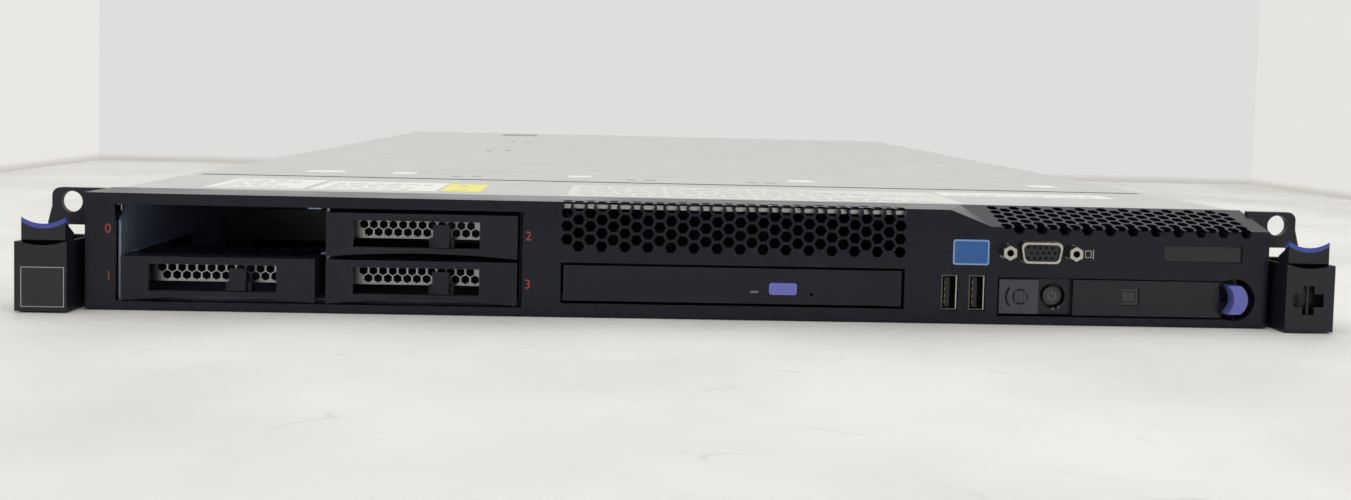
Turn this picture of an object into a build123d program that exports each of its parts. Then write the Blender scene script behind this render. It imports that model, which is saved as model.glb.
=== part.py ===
from build123d import *
import os

os.makedirs("parts", exist_ok=True)

# Overall sizes in millimetres, set by the 19 inch rack
EAR_SPAN = 482.6
BEZEL_WIDTH = EAR_SPAN - 42.6
BODY_WIDTH = BEZEL_WIDTH - 7.0
HEIGHT = 43.0
BODY_DEPTH = 711.0
HOUSING_REACH = 8.0
HANDLE_REACH = 22.0
ACROSS = BEZEL_WIDTH / 440.0

# Sheet thicknesses and clearances
SHEET = 1.2
COVER_SHEET = 1.0
BEZEL_WALL = 2.2
SLIDE_GAP = 0.3
SEAT_GAP = 0.2
PIN_GAP = 0.05

# Frame: X to the right of a viewer in front, Y to the back, Z up, origin under the middle
FRONT_Y = HOUSING_REACH - (HOUSING_REACH + BODY_DEPTH + HANDLE_REACH) / 2
BEZEL_X = BEZEL_WIDTH / 2
BODY_X = BODY_WIDTH / 2
WALL_OUT = BODY_X - COVER_SHEET - SLIDE_GAP
WALL_IN = WALL_OUT - SHEET
WALL_TOP = HEIGHT - COVER_SHEET - SEAT_GAP
COVER_UNDER = HEIGHT - COVER_SHEET
LIP_BOTTOM = HEIGHT - 9.0

# Depths behind the bezel face
BEZEL_DEPTH = 24.0
BEZEL_SIDE_DEPTH = 17.4
TRAY_FRONT = 14.3
TOP_PANEL_BACK = 103.0
COVER_FRONT = TOP_PANEL_BACK + 1.5
REAR_INSIDE = BODY_DEPTH - SHEET

# Bezel outline and its inclined right part
BEZEL_BOTTOM = 0.5
RIGHT_TOP = HEIGHT - 6.1
SLOPE_LEFT = BEZEL_X - 122.3 * ACROSS
SLOPE_RIGHT = BEZEL_X - 106.4 * ACROSS
FACET_BACK = BEZEL_X - 112.0 * ACROSS

# Honeycomb vents: flat-topped hexagons in upright columns
HEX_RADIUS = 2.25
HEX_PITCH = 4.95
HEX_COLUMN = HEX_PITCH * 0.866
EDGE_TO_HEX = 1.5
VENT_WALL = 0.9
INCLINE_COLUMN = 4.353
INCLINE_COLUMNS = int((BEZEL_X - SLOPE_RIGHT) / INCLINE_COLUMN) - 2

# Drive bays, two columns of two
BAY_PITCH = 74.0 * ACROSS
BAY_RISE = 17.4
FILLER_WIDTH = 70.0 * ACROSS
FILLER_HEIGHT = 16.2
FILLER_MARGIN = 1.9
BAY_LEFT = 10.7 - BEZEL_X
BAY_RIGHT = BAY_LEFT + BAY_PITCH + FILLER_WIDTH + 2 * FILLER_MARGIN
BAY_BOTTOM = 3.4
BAY_TOP = BAY_BOTTOM + 2 * BAY_RISE + 0.7
FILLER_X = BAY_LEFT + FILLER_MARGIN
FILLER_Z = BAY_BOTTOM + SLIDE_GAP
FACE_INSET = 0.6

# Slim optical drive
OPTICAL_X = BAY_RIGHT + 78.4 * ACROSS
OPTICAL_WIDTH = 126.4 * ACROSS
OPTICAL_HEIGHT = 13.2
OPTICAL_Z = 6.3
OPTICAL_GAP = 1.0
VENT_COLUMNS = int(OPTICAL_WIDTH / HEX_COLUMN) + 1

# Front sockets
USB_X = BEZEL_X - 116.6 * ACROSS
USB_PITCH = 10.4
USB_WIDTH = 5.8
USB_HEIGHT = 13.1
USB_Z = 5.3
VIDEO_X = BEZEL_X - 87.9 * ACROSS
VIDEO_Z = 27.6
VIDEO_WIDTH = 16.3
VIDEO_HEIGHT = 7.9
VIDEO_CORNER = 1.9
VIDEO_RIM = 0.8
POST_SPACING = 25.0

# Pull-out operator panel
PANEL_LEFT = BEZEL_X - 103.0 * ACROSS
PANEL_RIGHT = BEZEL_X - 16.4
PANEL_BOTTOM = 3.9
PANEL_TOP = 17.4
PANEL_DEPTH = 100.0
PANEL_GAP = 0.6
SCOOP_X = BEZEL_X - 12.8
SCOOP_RADIUS = 8.0
PANEL_MIDDLE = (PANEL_BOTTOM + PANEL_TOP) / 2

# Fans, boards and power supplies
FAN_COUNT = 6
FAN_SIZE = HEIGHT - 3.0
FAN_PITCH = 2 * WALL_IN / FAN_COUNT
FAN_BORE = FAN_SIZE / 2 - 1.2
FAN_FRONT = 150.0
FAN_LENGTH = 50.0
FAN_HUB = 9.5
BOARD_Z = 6.0
BOARD_THICK = 1.6
BOARD_TOP = BOARD_Z + BOARD_THICK
BOARD_FRONT = FAN_FRONT + FAN_LENGTH + 12.0
SUPPLY_WIDTH = 54.2
SUPPLY_HEIGHT = HEIGHT - 5.0
SUPPLY_LENGTH = 322.0
SUPPLY_FRONT = BODY_DEPTH - SUPPLY_LENGTH
SUPPLY_Z = SHEET + SLIDE_GAP
SUPPLY_X = SLIDE_GAP - WALL_IN
SUPPLY_PITCH = SUPPLY_WIDTH + 1.0
SUPPLY_BAY_RIGHT = SUPPLY_X + SUPPLY_PITCH + SUPPLY_WIDTH + SLIDE_GAP


def y_at(depth):
    """Y of a point a given depth behind the bezel face."""
    return FRONT_Y + depth


def facing(depth):
    """Plane parallel to the bezel face; its own axes are X and Z."""
    return Plane.XZ.offset(-y_at(depth))


def span(a, b, c, d, mode=Mode.ADD):
    """Rectangle of the current sketch from a to b across and from c to d upwards."""
    with Locations(((a + b) / 2, (c + d) / 2)):
        Rectangle(abs(b - a), abs(d - c), mode=mode)


def write(piece, name):
    """Label a finished piece and write it to its own file."""
    piece.part.label = name
    export_step(piece.part, f"parts/{name}.step")


# Chassis tray: floor and side walls folded from one sheet, with board standoffs
STANDOFF_RADIUS = 3.0
STANDOFF_STEP = 160.0
STANDOFF_ROWS = (BOARD_FRONT + 8, BOARD_FRONT + STANDOFF_STEP, BODY_DEPTH - 180, BODY_DEPTH - 25)
with BuildPart() as chassis_tray:
    with BuildSketch(facing(TRAY_FRONT)):
        span(-WALL_OUT, WALL_OUT, 0, WALL_TOP)
        span(-WALL_IN, WALL_IN, SHEET, HEIGHT, mode=Mode.SUBTRACT)
    extrude(amount=TRAY_FRONT - REAR_INSIDE)
    # Walls are lower where they run under the bezel
    with BuildSketch(facing(TRAY_FRONT)):
        span(-WALL_OUT, WALL_OUT, RIGHT_TOP - BEZEL_WALL, HEIGHT)
    extrude(amount=TRAY_FRONT - BEZEL_DEPTH - SLIDE_GAP, mode=Mode.SUBTRACT)
    with BuildSketch(Plane.XY.offset(SHEET)):
        for row in STANDOFF_ROWS:
            with Locations(*[(x, y_at(row)) for x in (SUPPLY_BAY_RIGHT + 44, 40, WALL_IN - 10)]):
                RegularPolygon(STANDOFF_RADIUS, 6)
        for row in STANDOFF_ROWS[:2]:
            with Locations((10 - WALL_IN, y_at(row))):
                RegularPolygon(STANDOFF_RADIUS, 6)
    extrude(amount=BOARD_Z - SHEET)
write(chassis_tray, "chassis_tray")


def folded_profile():
    """Section of a top panel: a flat sheet with its sides folded down outside the walls."""
    span(-BODY_X, BODY_X, LIP_BOTTOM, HEIGHT)
    span(COVER_SHEET - BODY_X, BODY_X - COVER_SHEET, 0, COVER_UNDER, mode=Mode.SUBTRACT)


# Front top panel, fixed between the bezel and the sliding cover, with a lip under the bezel vents
PANEL_FRONT = BEZEL_DEPTH + SEAT_GAP
LIP_FRONT = BEZEL_WALL + 1.0
LIP_TOP = HEIGHT - VENT_WALL - SEAT_GAP
LIP_THICK = 1.5
LIP_BACK = PANEL_FRONT + 8.0
LIP_HALF = OPTICAL_WIDTH / 2 + 1.5
with BuildPart() as front_top_panel:
    with BuildSketch(facing(PANEL_FRONT)):
        folded_profile()
    extrude(amount=PANEL_FRONT - TOP_PANEL_BACK)
    with BuildSketch(facing(LIP_FRONT)):
        span(OPTICAL_X - LIP_HALF, OPTICAL_X + LIP_HALF, LIP_TOP - LIP_THICK, LIP_TOP)
    extrude(amount=LIP_FRONT - LIP_BACK)
    with BuildSketch(facing(PANEL_FRONT)):
        span(OPTICAL_X - LIP_HALF, OPTICAL_X + LIP_HALF, LIP_TOP - LIP_THICK, COVER_UNDER)
    extrude(amount=PANEL_FRONT - LIP_BACK)
write(front_top_panel, "front_top_panel")

# Sliding top cover with hook slots at the front, vents at the rear and a latch opening
LATCH_X = -118.0
LATCH_WIDTH = 30.0
LATCH_FRONT = BODY_DEPTH - 57.0
LATCH_LENGTH = 34.0
LATCH_PIN_Z = COVER_UNDER + 0.1
LATCH_PIN_RADIUS = 0.55
LATCH_BARREL = 0.85
KNUCKLE = 1.6
HOOK_SLOTS = (-97.5, -16.5, 40.0)
REAR_VENT_X = -2.0
with BuildPart() as top_cover:
    with BuildSketch(facing(COVER_FRONT)):
        folded_profile()
    extrude(amount=COVER_FRONT - BODY_DEPTH)
    with BuildSketch(Plane.YZ.offset(LATCH_X - LATCH_WIDTH / 2 - KNUCKLE)):
        span(y_at(LATCH_FRONT - 1), y_at(LATCH_FRONT + 3), LATCH_PIN_Z - 1.1, COVER_UNDER)
    extrude(amount=LATCH_WIDTH + 2 * KNUCKLE)
    with BuildSketch(Plane.XY.offset(COVER_UNDER - 2)):
        with Locations((LATCH_X, y_at(LATCH_FRONT + LATCH_LENGTH / 2))):
            Rectangle(LATCH_WIDTH, LATCH_LENGTH)
        with Locations((LATCH_X, y_at(LATCH_FRONT))):
            Rectangle(LATCH_WIDTH, 8)
        for slot_x in HOOK_SLOTS:
            with Locations((slot_x, y_at(COVER_FRONT + 17))):
                with GridLocations(9.0, 1, 2, 1):
                    Rectangle(5.0, 1.8)
        with Locations((REAR_VENT_X, y_at(BODY_DEPTH - 12))):
            with GridLocations(6.8, 1, 20, 1):
                Rectangle(4.0, 3.0)
    extrude(amount=4, mode=Mode.SUBTRACT)
    with BuildSketch(Plane.YZ.offset(LATCH_X - LATCH_WIDTH / 2 - KNUCKLE)):
        with Locations((y_at(LATCH_FRONT + 1), LATCH_PIN_Z)):
            Circle(LATCH_PIN_RADIUS + PIN_GAP)
    extrude(amount=LATCH_WIDTH + 2 * KNUCKLE, mode=Mode.SUBTRACT)
write(top_cover, "top_cover")

# Cover latch: a flush plate that swings up on pins at its front edge
LATCH_PLATE = LATCH_WIDTH - 2 * SLIDE_GAP
with BuildPart() as cover_latch:
    with BuildSketch(Plane.YZ.offset(LATCH_X - LATCH_PLATE / 2)):
        with Locations((y_at(LATCH_FRONT + 1), LATCH_PIN_Z)):
            Circle(LATCH_BARREL)
        span(y_at(LATCH_FRONT + 1), y_at(LATCH_FRONT + LATCH_LENGTH - 0.5), COVER_UNDER, HEIGHT - 0.1)
    extrude(amount=LATCH_PLATE)
    with BuildSketch(Plane.YZ.offset(LATCH_X - LATCH_WIDTH / 2 - KNUCKLE + SEAT_GAP)):
        with Locations((y_at(LATCH_FRONT + 1), LATCH_PIN_Z)):
            Circle(LATCH_PIN_RADIUS)
    extrude(amount=LATCH_WIDTH + 2 * KNUCKLE - 2 * SEAT_GAP)
write(cover_latch, "cover_latch")


def above_incline(drop):
    """Space over the inclined right part of the bezel, lowered by drop."""
    slope_start = Vector(SLOPE_LEFT, y_at(0), HEIGHT - drop)
    slope_end = Vector(SLOPE_RIGHT, y_at(0), RIGHT_TOP - drop)
    facet_end = Vector(FACET_BACK, y_at(BEZEL_DEPTH), HEIGHT - drop)
    facet = Plane(origin=slope_start, z_dir=(slope_end - slope_start).cross(facet_end - slope_start))
    rise = HEIGHT - RIGHT_TOP
    with BuildPart() as space:
        with BuildSketch(Plane.YZ.offset(SLOPE_LEFT - HEIGHT)):
            with BuildLine():
                Polyline(
                    (y_at(-BEZEL_DEPTH), RIGHT_TOP - rise - drop),
                    (y_at(2 * BEZEL_DEPTH), HEIGHT + rise - drop),
                    (y_at(2 * BEZEL_DEPTH), 2 * HEIGHT),
                    (y_at(-BEZEL_DEPTH), 2 * HEIGHT),
                    close=True,
                )
            make_face()
        extrude(amount=BEZEL_WIDTH)
        split(bisect_by=facet, keep=Keep.TOP)
    return space.part


def d_outline(width, height, mode=Mode.ADD):
    """D-shaped socket outline with rounded corners, wider at its top."""
    with BuildSketch(mode=Mode.PRIVATE) as outline:
        Trapezoid(width, height, 100)
        fillet(outline.vertices(), VIDEO_CORNER)
    with Locations((VIDEO_X, VIDEO_Z)):
        add(outline.sketch, mode=mode)


def panel_opening(gap, mode=Mode.ADD):
    """Front outline of the operator panel and the finger scoop at its right end."""
    span(PANEL_LEFT - gap, PANEL_RIGHT + gap, PANEL_BOTTOM - gap, PANEL_TOP + gap, mode=mode)
    with Locations((SCOOP_X, PANEL_MIDDLE + 0.2)):
        Circle(SCOOP_RADIUS, mode=mode)


# Hollow of the bezel behind its walls
with BuildPart() as bezel_hollow:
    with BuildSketch(facing(BEZEL_WALL)):
        span(BEZEL_WALL - BEZEL_X, BEZEL_X - BEZEL_WALL, BEZEL_BOTTOM + BEZEL_WALL, HEIGHT - BEZEL_WALL)
    extrude(amount=-BEZEL_DEPTH)
    with BuildSketch(facing(BEZEL_WALL)):
        span(
            OPTICAL_X - LIP_HALF - SLIDE_GAP,
            OPTICAL_X + LIP_HALF + SLIDE_GAP,
            HEIGHT - 2 * BEZEL_WALL,
            HEIGHT - VENT_WALL,
        )
    extrude(amount=-BEZEL_DEPTH)
    add(above_incline(BEZEL_WALL), mode=Mode.SUBTRACT)

# Front bezel: hollow moulding with honeycomb vents that run over its top edge
INCLINE = Plane(
    origin=(BEZEL_X, y_at(0), RIGHT_TOP),
    x_dir=(1, 0, 0),
    z_dir=Vector(0, RIGHT_TOP - HEIGHT, BEZEL_DEPTH).normalized(),
)
TOP_EDGE = Plane(origin=(0, y_at(0), HEIGHT), x_dir=(1, 0, 0), z_dir=(0, -1, 1))
NAMEPLATE_WIDTH = 30.4
NAMEPLATE_HEIGHT = 6.7
NAMEPLATE_X = BEZEL_X - 25.5
NAMEPLATE_Z = 28.05
vent_columns = [OPTICAL_X + (i - (VENT_COLUMNS - 1) / 2) * HEX_COLUMN for i in range(VENT_COLUMNS)]
incline_columns = [-9.05 - i * INCLINE_COLUMN for i in range(INCLINE_COLUMNS)]
with BuildPart() as front_bezel:
    with BuildSketch(facing(0)):
        span(-BEZEL_X, BEZEL_X, BEZEL_BOTTOM, HEIGHT)
    extrude(amount=-BEZEL_DEPTH)
    add(above_incline(0), mode=Mode.SUBTRACT)
    add(bezel_hollow.part, mode=Mode.SUBTRACT)
    # Rear edges stop short of the tray floor and of the rack flanges
    with BuildSketch(facing(TRAY_FRONT - SLIDE_GAP)):
        span(-BEZEL_X, BEZEL_X, 0, BEZEL_BOTTOM + BEZEL_WALL)
    extrude(amount=-BEZEL_DEPTH, mode=Mode.SUBTRACT)
    with BuildSketch(facing(BEZEL_SIDE_DEPTH)):
        for side in (-1, 1):
            span(side * (BEZEL_X - BEZEL_WALL), side * BEZEL_X, 0, HEIGHT - BEZEL_WALL)
    extrude(amount=-BEZEL_DEPTH, mode=Mode.SUBTRACT)
    # Openings for the bays, the optical drive, the sockets and the operator panel
    with BuildSketch(facing(0)):
        span(BAY_LEFT, BAY_RIGHT, BAY_BOTTOM, BAY_TOP)
        span(
            OPTICAL_X - OPTICAL_WIDTH / 2 - OPTICAL_GAP,
            OPTICAL_X + OPTICAL_WIDTH / 2 + OPTICAL_GAP,
            OPTICAL_Z - OPTICAL_GAP,
            OPTICAL_Z + OPTICAL_HEIGHT + OPTICAL_GAP,
        )
        with Locations((USB_X, USB_Z + USB_HEIGHT / 2)):
            with GridLocations(USB_PITCH, 1, 2, 1):
                Rectangle(USB_WIDTH + 2 * SLIDE_GAP, USB_HEIGHT + 2 * SLIDE_GAP)
        d_outline(VIDEO_WIDTH + 2 * SLIDE_GAP, VIDEO_HEIGHT + 2 * SLIDE_GAP)
        with Locations((VIDEO_X, VIDEO_Z)):
            with GridLocations(POST_SPACING, 1, 2, 1):
                RegularPolygon(3.2, 6, rotation=30)
        panel_opening(PANEL_GAP)
    extrude(amount=-BEZEL_WALL - SEAT_GAP, mode=Mode.SUBTRACT)
    with BuildSketch(facing(0)):
        with Locations((NAMEPLATE_X, NAMEPLATE_Z)):
            Rectangle(NAMEPLATE_WIDTH, NAMEPLATE_HEIGHT)
    extrude(amount=-0.5, mode=Mode.SUBTRACT)
    # Vents in the front face, the even columns reaching into the top edge
    with BuildSketch(facing(0)):
        for index, column in enumerate(vent_columns):
            first = EDGE_TO_HEX if index % 2 else EDGE_TO_HEX + HEX_PITCH / 2
            rows = 4 if index % 2 else 3
            with Locations(*[(column, HEIGHT - first - row * HEX_PITCH) for row in range(rows)]):
                RegularPolygon(HEX_RADIUS, 6)
        for column in incline_columns[::2]:
            with Locations((BEZEL_X + column, RIGHT_TOP - 0.7)):
                RegularPolygon(HEX_RADIUS, 6)
    extrude(amount=-2 * BEZEL_WALL, mode=Mode.SUBTRACT)
    # Vents in the top face just behind the edge
    with BuildSketch(Plane.XY.offset(HEIGHT)):
        for index, column in enumerate(vent_columns):
            behind = HEX_PITCH - EDGE_TO_HEX if index % 2 else 1.5 * HEX_PITCH - EDGE_TO_HEX
            with Locations((column, y_at(behind))):
                RegularPolygon(HEX_RADIUS, 6)
    extrude(amount=-BEZEL_WALL, mode=Mode.SUBTRACT)
    # Vents across the edge itself
    with BuildSketch(TOP_EDGE):
        with Locations(*[(column, 0) for column in vent_columns[::2]]):
            RegularPolygon(HEX_RADIUS * 0.8, 6)
    extrude(amount=-2 * BEZEL_WALL, mode=Mode.SUBTRACT)
    # Vents on the incline
    with BuildSketch(INCLINE):
        for index, column in enumerate(incline_columns):
            first = HEX_PITCH / 2 - 0.7 if index % 2 else HEX_PITCH - 0.7
            rows = 5 if index % 2 else 4
            with Locations(*[(column, first + row * HEX_PITCH) for row in range(rows)]):
                RegularPolygon(HEX_RADIUS, 6)
    extrude(amount=-1.5 * BEZEL_WALL, mode=Mode.SUBTRACT)
write(front_bezel, "front_bezel")

# Rack ears: a flange with the screw hole, a leg on the chassis side and the latch housing
EAR_X = EAR_SPAN / 2
FLANGE_FRONT = BEZEL_SIDE_DEPTH + 0.8
FLANGE_THICK = 2.5
EAR_HOLE_X = EAR_X - 8.75
EAR_HOLE_Z = 37.7
EAR_HOLE_RADIUS = 4.0
EAR_BOTTOM = 0.6
LEG_THICK = 2.0
LEG_BACK = 62.0
HOUSING_IN = EAR_X - 18.4
HOUSING_TOP = 25.6
HOUSING_WALL = 1.4
CAVITY_IN = HOUSING_IN + 0.9
CAVITY_OUT = EAR_X - HOUSING_WALL
LATCH_IN = CAVITY_IN + SLIDE_GAP
LATCH_OUT = CAVITY_OUT - SLIDE_GAP
LATCH_MIDDLE = (LATCH_IN + LATCH_OUT) / 2
LATCH_HALF = (LATCH_OUT - LATCH_IN) / 2
LATCH_HEAD_FRONT = -HOUSING_REACH + HOUSING_WALL + SLIDE_GAP
LATCH_HEAD_DEPTH = 7.0
STEM_SETBACK = 3.0
LATCH_HEAD_DROP = 4.6
LATCH_LEAN = Vector(0, LATCH_HEAD_DEPTH, -LATCH_HEAD_DROP)
LATCH_PRESS = 6.0
LATCH_CORNER = 34.3
LATCH_DIP = 2.4
PAD_THICK = 1.7
PAD_SHARE = 0.4
TONGUE_TOP = 21.5
TONGUE_THICK = 2.6
HOOK_BACK = FLANGE_FRONT + FLANGE_THICK + 6.0


def rack_ear(side):
    """One rack ear; side is 1 for the right ear and -1 for the left."""
    with BuildPart() as ear:
        with BuildSketch(facing(FLANGE_FRONT)):
            with BuildLine():
                Polyline(
                    (side * EAR_X, 30.0),
                    (side * EAR_X, EAR_BOTTOM),
                    (side * WALL_OUT, EAR_BOTTOM),
                    (side * WALL_OUT, RIGHT_TOP),
                    (side * (BEZEL_X + 0.4), RIGHT_TOP),
                    (side * (BEZEL_X + 0.4), HEIGHT),
                    (side * (EAR_X - 4.5), HEIGHT),
                )
                ThreePointArc(
                    (side * (EAR_X - 4.5), HEIGHT),
                    (side * (EAR_X - 2.4), HEIGHT - 0.9),
                    (side * (EAR_X - 1.5), HEIGHT - 3),
                )
                Polyline((side * (EAR_X - 1.5), HEIGHT - 3), (side * (EAR_X - 1.5), 36.0), (side * EAR_X, 30.0))
            make_face()
            with Locations((side * EAR_HOLE_X, EAR_HOLE_Z)):
                Circle(EAR_HOLE_RADIUS, mode=Mode.SUBTRACT)
            span(side * CAVITY_IN, side * (CAVITY_OUT - 1), 10.0, 29.0, mode=Mode.SUBTRACT)
        extrude(amount=-FLANGE_THICK)
        # Leg along the chassis wall
        with BuildSketch(facing(FLANGE_FRONT + FLANGE_THICK)):
            span(side * WALL_OUT, side * (WALL_OUT + LEG_THICK), 3.0, LIP_BOTTOM - 1)
        extrude(amount=FLANGE_FRONT + FLANGE_THICK - LEG_BACK)
        # Latch housing, open at its top, with a dished front edge
        with BuildSketch(facing(-HOUSING_REACH)):
            span(side * HOUSING_IN, side * EAR_X, EAR_BOTTOM, HOUSING_TOP)
        extrude(amount=-HOUSING_REACH - FLANGE_FRONT)
        with BuildSketch(facing(-HOUSING_REACH + HOUSING_WALL)):
            span(side * CAVITY_IN, side * CAVITY_OUT, EAR_BOTTOM + HOUSING_WALL, HEIGHT)
        extrude(amount=-HOUSING_REACH + HOUSING_WALL - FLANGE_FRONT, mode=Mode.SUBTRACT)
        with BuildSketch(facing(-HOUSING_REACH)):
            with BuildLine():
                ThreePointArc(
                    (side * LATCH_IN, HOUSING_TOP),
                    (side * LATCH_MIDDLE, HOUSING_TOP - 1.3),
                    (side * LATCH_OUT, HOUSING_TOP),
                )
                Line((side * LATCH_OUT, HOUSING_TOP), (side * LATCH_IN, HOUSING_TOP))
            make_face()
        extrude(amount=-HOUSING_WALL, mode=Mode.SUBTRACT)
        if side > 0:
            with BuildSketch(facing(-HOUSING_REACH)):
                with Locations((LATCH_MIDDLE - 0.4, 12.4)):
                    Rectangle(11.8, 5.0)
                    Rectangle(4.5, 10.9)
            extrude(amount=-HOUSING_WALL, mode=Mode.SUBTRACT)
            with BuildSketch(facing(-HOUSING_REACH + HOUSING_WALL / 2)):
                with Locations((LATCH_MIDDLE - 0.4, 12.4)):
                    Rectangle(0.9, 11.3)
            extrude(amount=-HOUSING_WALL / 2)
    return ear


def latch_top(side, lift):
    """Dished line across the latch head, lift above the underside of the pad."""
    corner = LATCH_CORNER - PAD_THICK + lift
    return ThreePointArc(
        (side * LATCH_IN, corner),
        (side * LATCH_MIDDLE, corner - LATCH_DIP),
        (side * LATCH_OUT, corner),
    )


def rack_latch(side):
    """Latch that is pressed down: a head in the housing and a tongue hooked behind the flange."""
    stem_bottom = EAR_BOTTOM + HOUSING_WALL + LATCH_PRESS + SLIDE_GAP
    stem_front = LATCH_HEAD_FRONT + STEM_SETBACK
    stem_back = LATCH_HEAD_FRONT + LATCH_HEAD_DEPTH
    with BuildPart() as latch:
        with BuildSketch(facing(LATCH_HEAD_FRONT)):
            with BuildLine():
                top = latch_top(side, 0)
                Polyline(
                    top @ 1,
                    (side * LATCH_OUT, TONGUE_TOP + LATCH_HEAD_DROP),
                    (side * LATCH_IN, TONGUE_TOP + LATCH_HEAD_DROP),
                    top @ 0,
                )
            make_face()
        extrude(amount=LATCH_LEAN.length, dir=LATCH_LEAN)
        with BuildSketch(Plane.YZ.offset(side * LATCH_MIDDLE)):
            span(y_at(stem_front), y_at(stem_back + 1), stem_bottom, TONGUE_TOP + LATCH_HEAD_DROP / 2)
            span(y_at(stem_front), y_at(HOOK_BACK), TONGUE_TOP - TONGUE_THICK, TONGUE_TOP)
            span(y_at(HOOK_BACK - 2.5), y_at(HOOK_BACK), TONGUE_TOP, TONGUE_TOP + 3)
        extrude(amount=LATCH_HALF - 1.5, both=True)
    return latch


def latch_pad(side):
    """Coloured thumb pad lying in the dished top of a latch."""
    with BuildPart() as pad:
        with BuildSketch(facing(LATCH_HEAD_FRONT)):
            with BuildLine():
                under = latch_top(side, 0)
                over = latch_top(side, PAD_THICK)
                Line(under @ 0, over @ 0)
                Line(under @ 1, over @ 1)
            make_face()
        extrude(amount=PAD_SHARE * LATCH_LEAN.length, dir=LATCH_LEAN)
    return pad


for side_name, side_sign in (("left", -1), ("right", 1)):
    write(rack_ear(side_sign), f"{side_name}_rack_ear")
    write(rack_latch(side_sign), f"{side_name}_latch")
    write(latch_pad(side_sign), f"{side_name}_latch_pad")

# Drive cage: folded steel box with a divider, ledges between the rows and feet
CAGE_SHEET = 0.9
CAGE_FRONT = BEZEL_WALL + SLIDE_GAP
CAGE_BACK = 117.5
CAGE_LEFT = FILLER_X - 0.6
CAGE_RIGHT = FILLER_X + BAY_PITCH + FILLER_WIDTH + 0.6
CAGE_BOTTOM = BEZEL_BOTTOM + BEZEL_WALL + 0.1
CAGE_TOP = HEIGHT - BEZEL_WALL - 0.1
DIVIDER_X = FILLER_X + (BAY_PITCH + FILLER_WIDTH) / 2
LEDGE_Z = FILLER_Z + FILLER_HEIGHT + SLIDE_GAP
LEDGE_WIDTH = 2.0
CAGE_SETBACK = 10.0
with BuildPart() as drive_cage:
    with BuildSketch(facing(CAGE_FRONT)):
        span(CAGE_LEFT - CAGE_SHEET, CAGE_RIGHT + CAGE_SHEET, CAGE_BOTTOM, CAGE_TOP)
        for left, right in ((CAGE_LEFT, DIVIDER_X - 0.5), (DIVIDER_X + 0.5, CAGE_RIGHT)):
            span(left, right, CAGE_BOTTOM + 0.7, CAGE_TOP - CAGE_SHEET, mode=Mode.SUBTRACT)
            span(left, left + LEDGE_WIDTH, LEDGE_Z, LEDGE_Z + 0.6)
            span(right - LEDGE_WIDTH, right, LEDGE_Z, LEDGE_Z + 0.6)
    extrude(amount=CAGE_FRONT - CAGE_BACK)
    # Floor, divider and ledges start further back, with a tab over the divider
    with BuildSketch(facing(CAGE_FRONT)):
        span(CAGE_LEFT, CAGE_RIGHT, CAGE_BOTTOM, CAGE_TOP - CAGE_SHEET)
        span(DIVIDER_X - 5.2, DIVIDER_X - 0.2, BAY_TOP - 0.7, CAGE_TOP - CAGE_SHEET, mode=Mode.SUBTRACT)
    extrude(amount=-CAGE_SETBACK, mode=Mode.SUBTRACT)
    with BuildSketch(facing(CAGE_FRONT)):
        span(DIVIDER_X - 5.2, DIVIDER_X - 0.2, BAY_TOP - 0.7, CAGE_TOP - CAGE_SHEET)
    extrude(amount=-CAGE_SETBACK)
    with BuildSketch(facing(TRAY_FRONT + 5)):
        for foot_x in (CAGE_LEFT + 10, DIVIDER_X, CAGE_RIGHT - 10):
            span(foot_x - 5, foot_x + 5, SHEET, CAGE_BOTTOM)
    extrude(amount=TRAY_FRONT + 5 - CAGE_BACK)
    # Cut corner and slots of the outer side wall
    with BuildSketch(Plane.YZ.offset(CAGE_LEFT - CAGE_SHEET)):
        with BuildLine():
            Polyline(
                (y_at(CAGE_FRONT), CAGE_TOP - 8),
                (y_at(CAGE_FRONT + 9), CAGE_TOP - CAGE_SHEET),
                (y_at(CAGE_FRONT), CAGE_TOP - CAGE_SHEET),
                close=True,
            )
        make_face()
        with Locations((y_at(CAGE_FRONT + 4), LEDGE_Z + 9.3)):
            Rectangle(2, 3)
        with Locations((y_at(CAGE_FRONT + 8.2), LEDGE_Z + 8.8)):
            Rectangle(2, 7)
    extrude(amount=CAGE_SHEET, mode=Mode.SUBTRACT)
write(drive_cage, "drive_cage")

# Drive backplane: board with air slots and one socket for each bay
SOCKET_REACH = 5.5
with BuildPart() as drive_backplane:
    with BuildSketch(facing(CAGE_BACK)):
        span(CAGE_LEFT, CAGE_RIGHT, CAGE_BOTTOM, CAGE_TOP - CAGE_SHEET)
        with Locations((DIVIDER_X, FILLER_Z + FILLER_HEIGHT)):
            with GridLocations(BAY_PITCH, BAY_RISE + 3, 2, 2):
                Rectangle(0.63 * FILLER_WIDTH, 5, mode=Mode.SUBTRACT)
    extrude(amount=-BOARD_THICK)
    with BuildSketch(facing(CAGE_BACK)):
        with Locations((DIVIDER_X, FILLER_Z + 4 + BAY_RISE / 2)):
            with GridLocations(BAY_PITCH, BAY_RISE, 2, 2):
                Rectangle(0.47 * FILLER_WIDTH, 3.6)
    extrude(amount=SOCKET_REACH)
write(drive_backplane, "drive_backplane")

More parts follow.
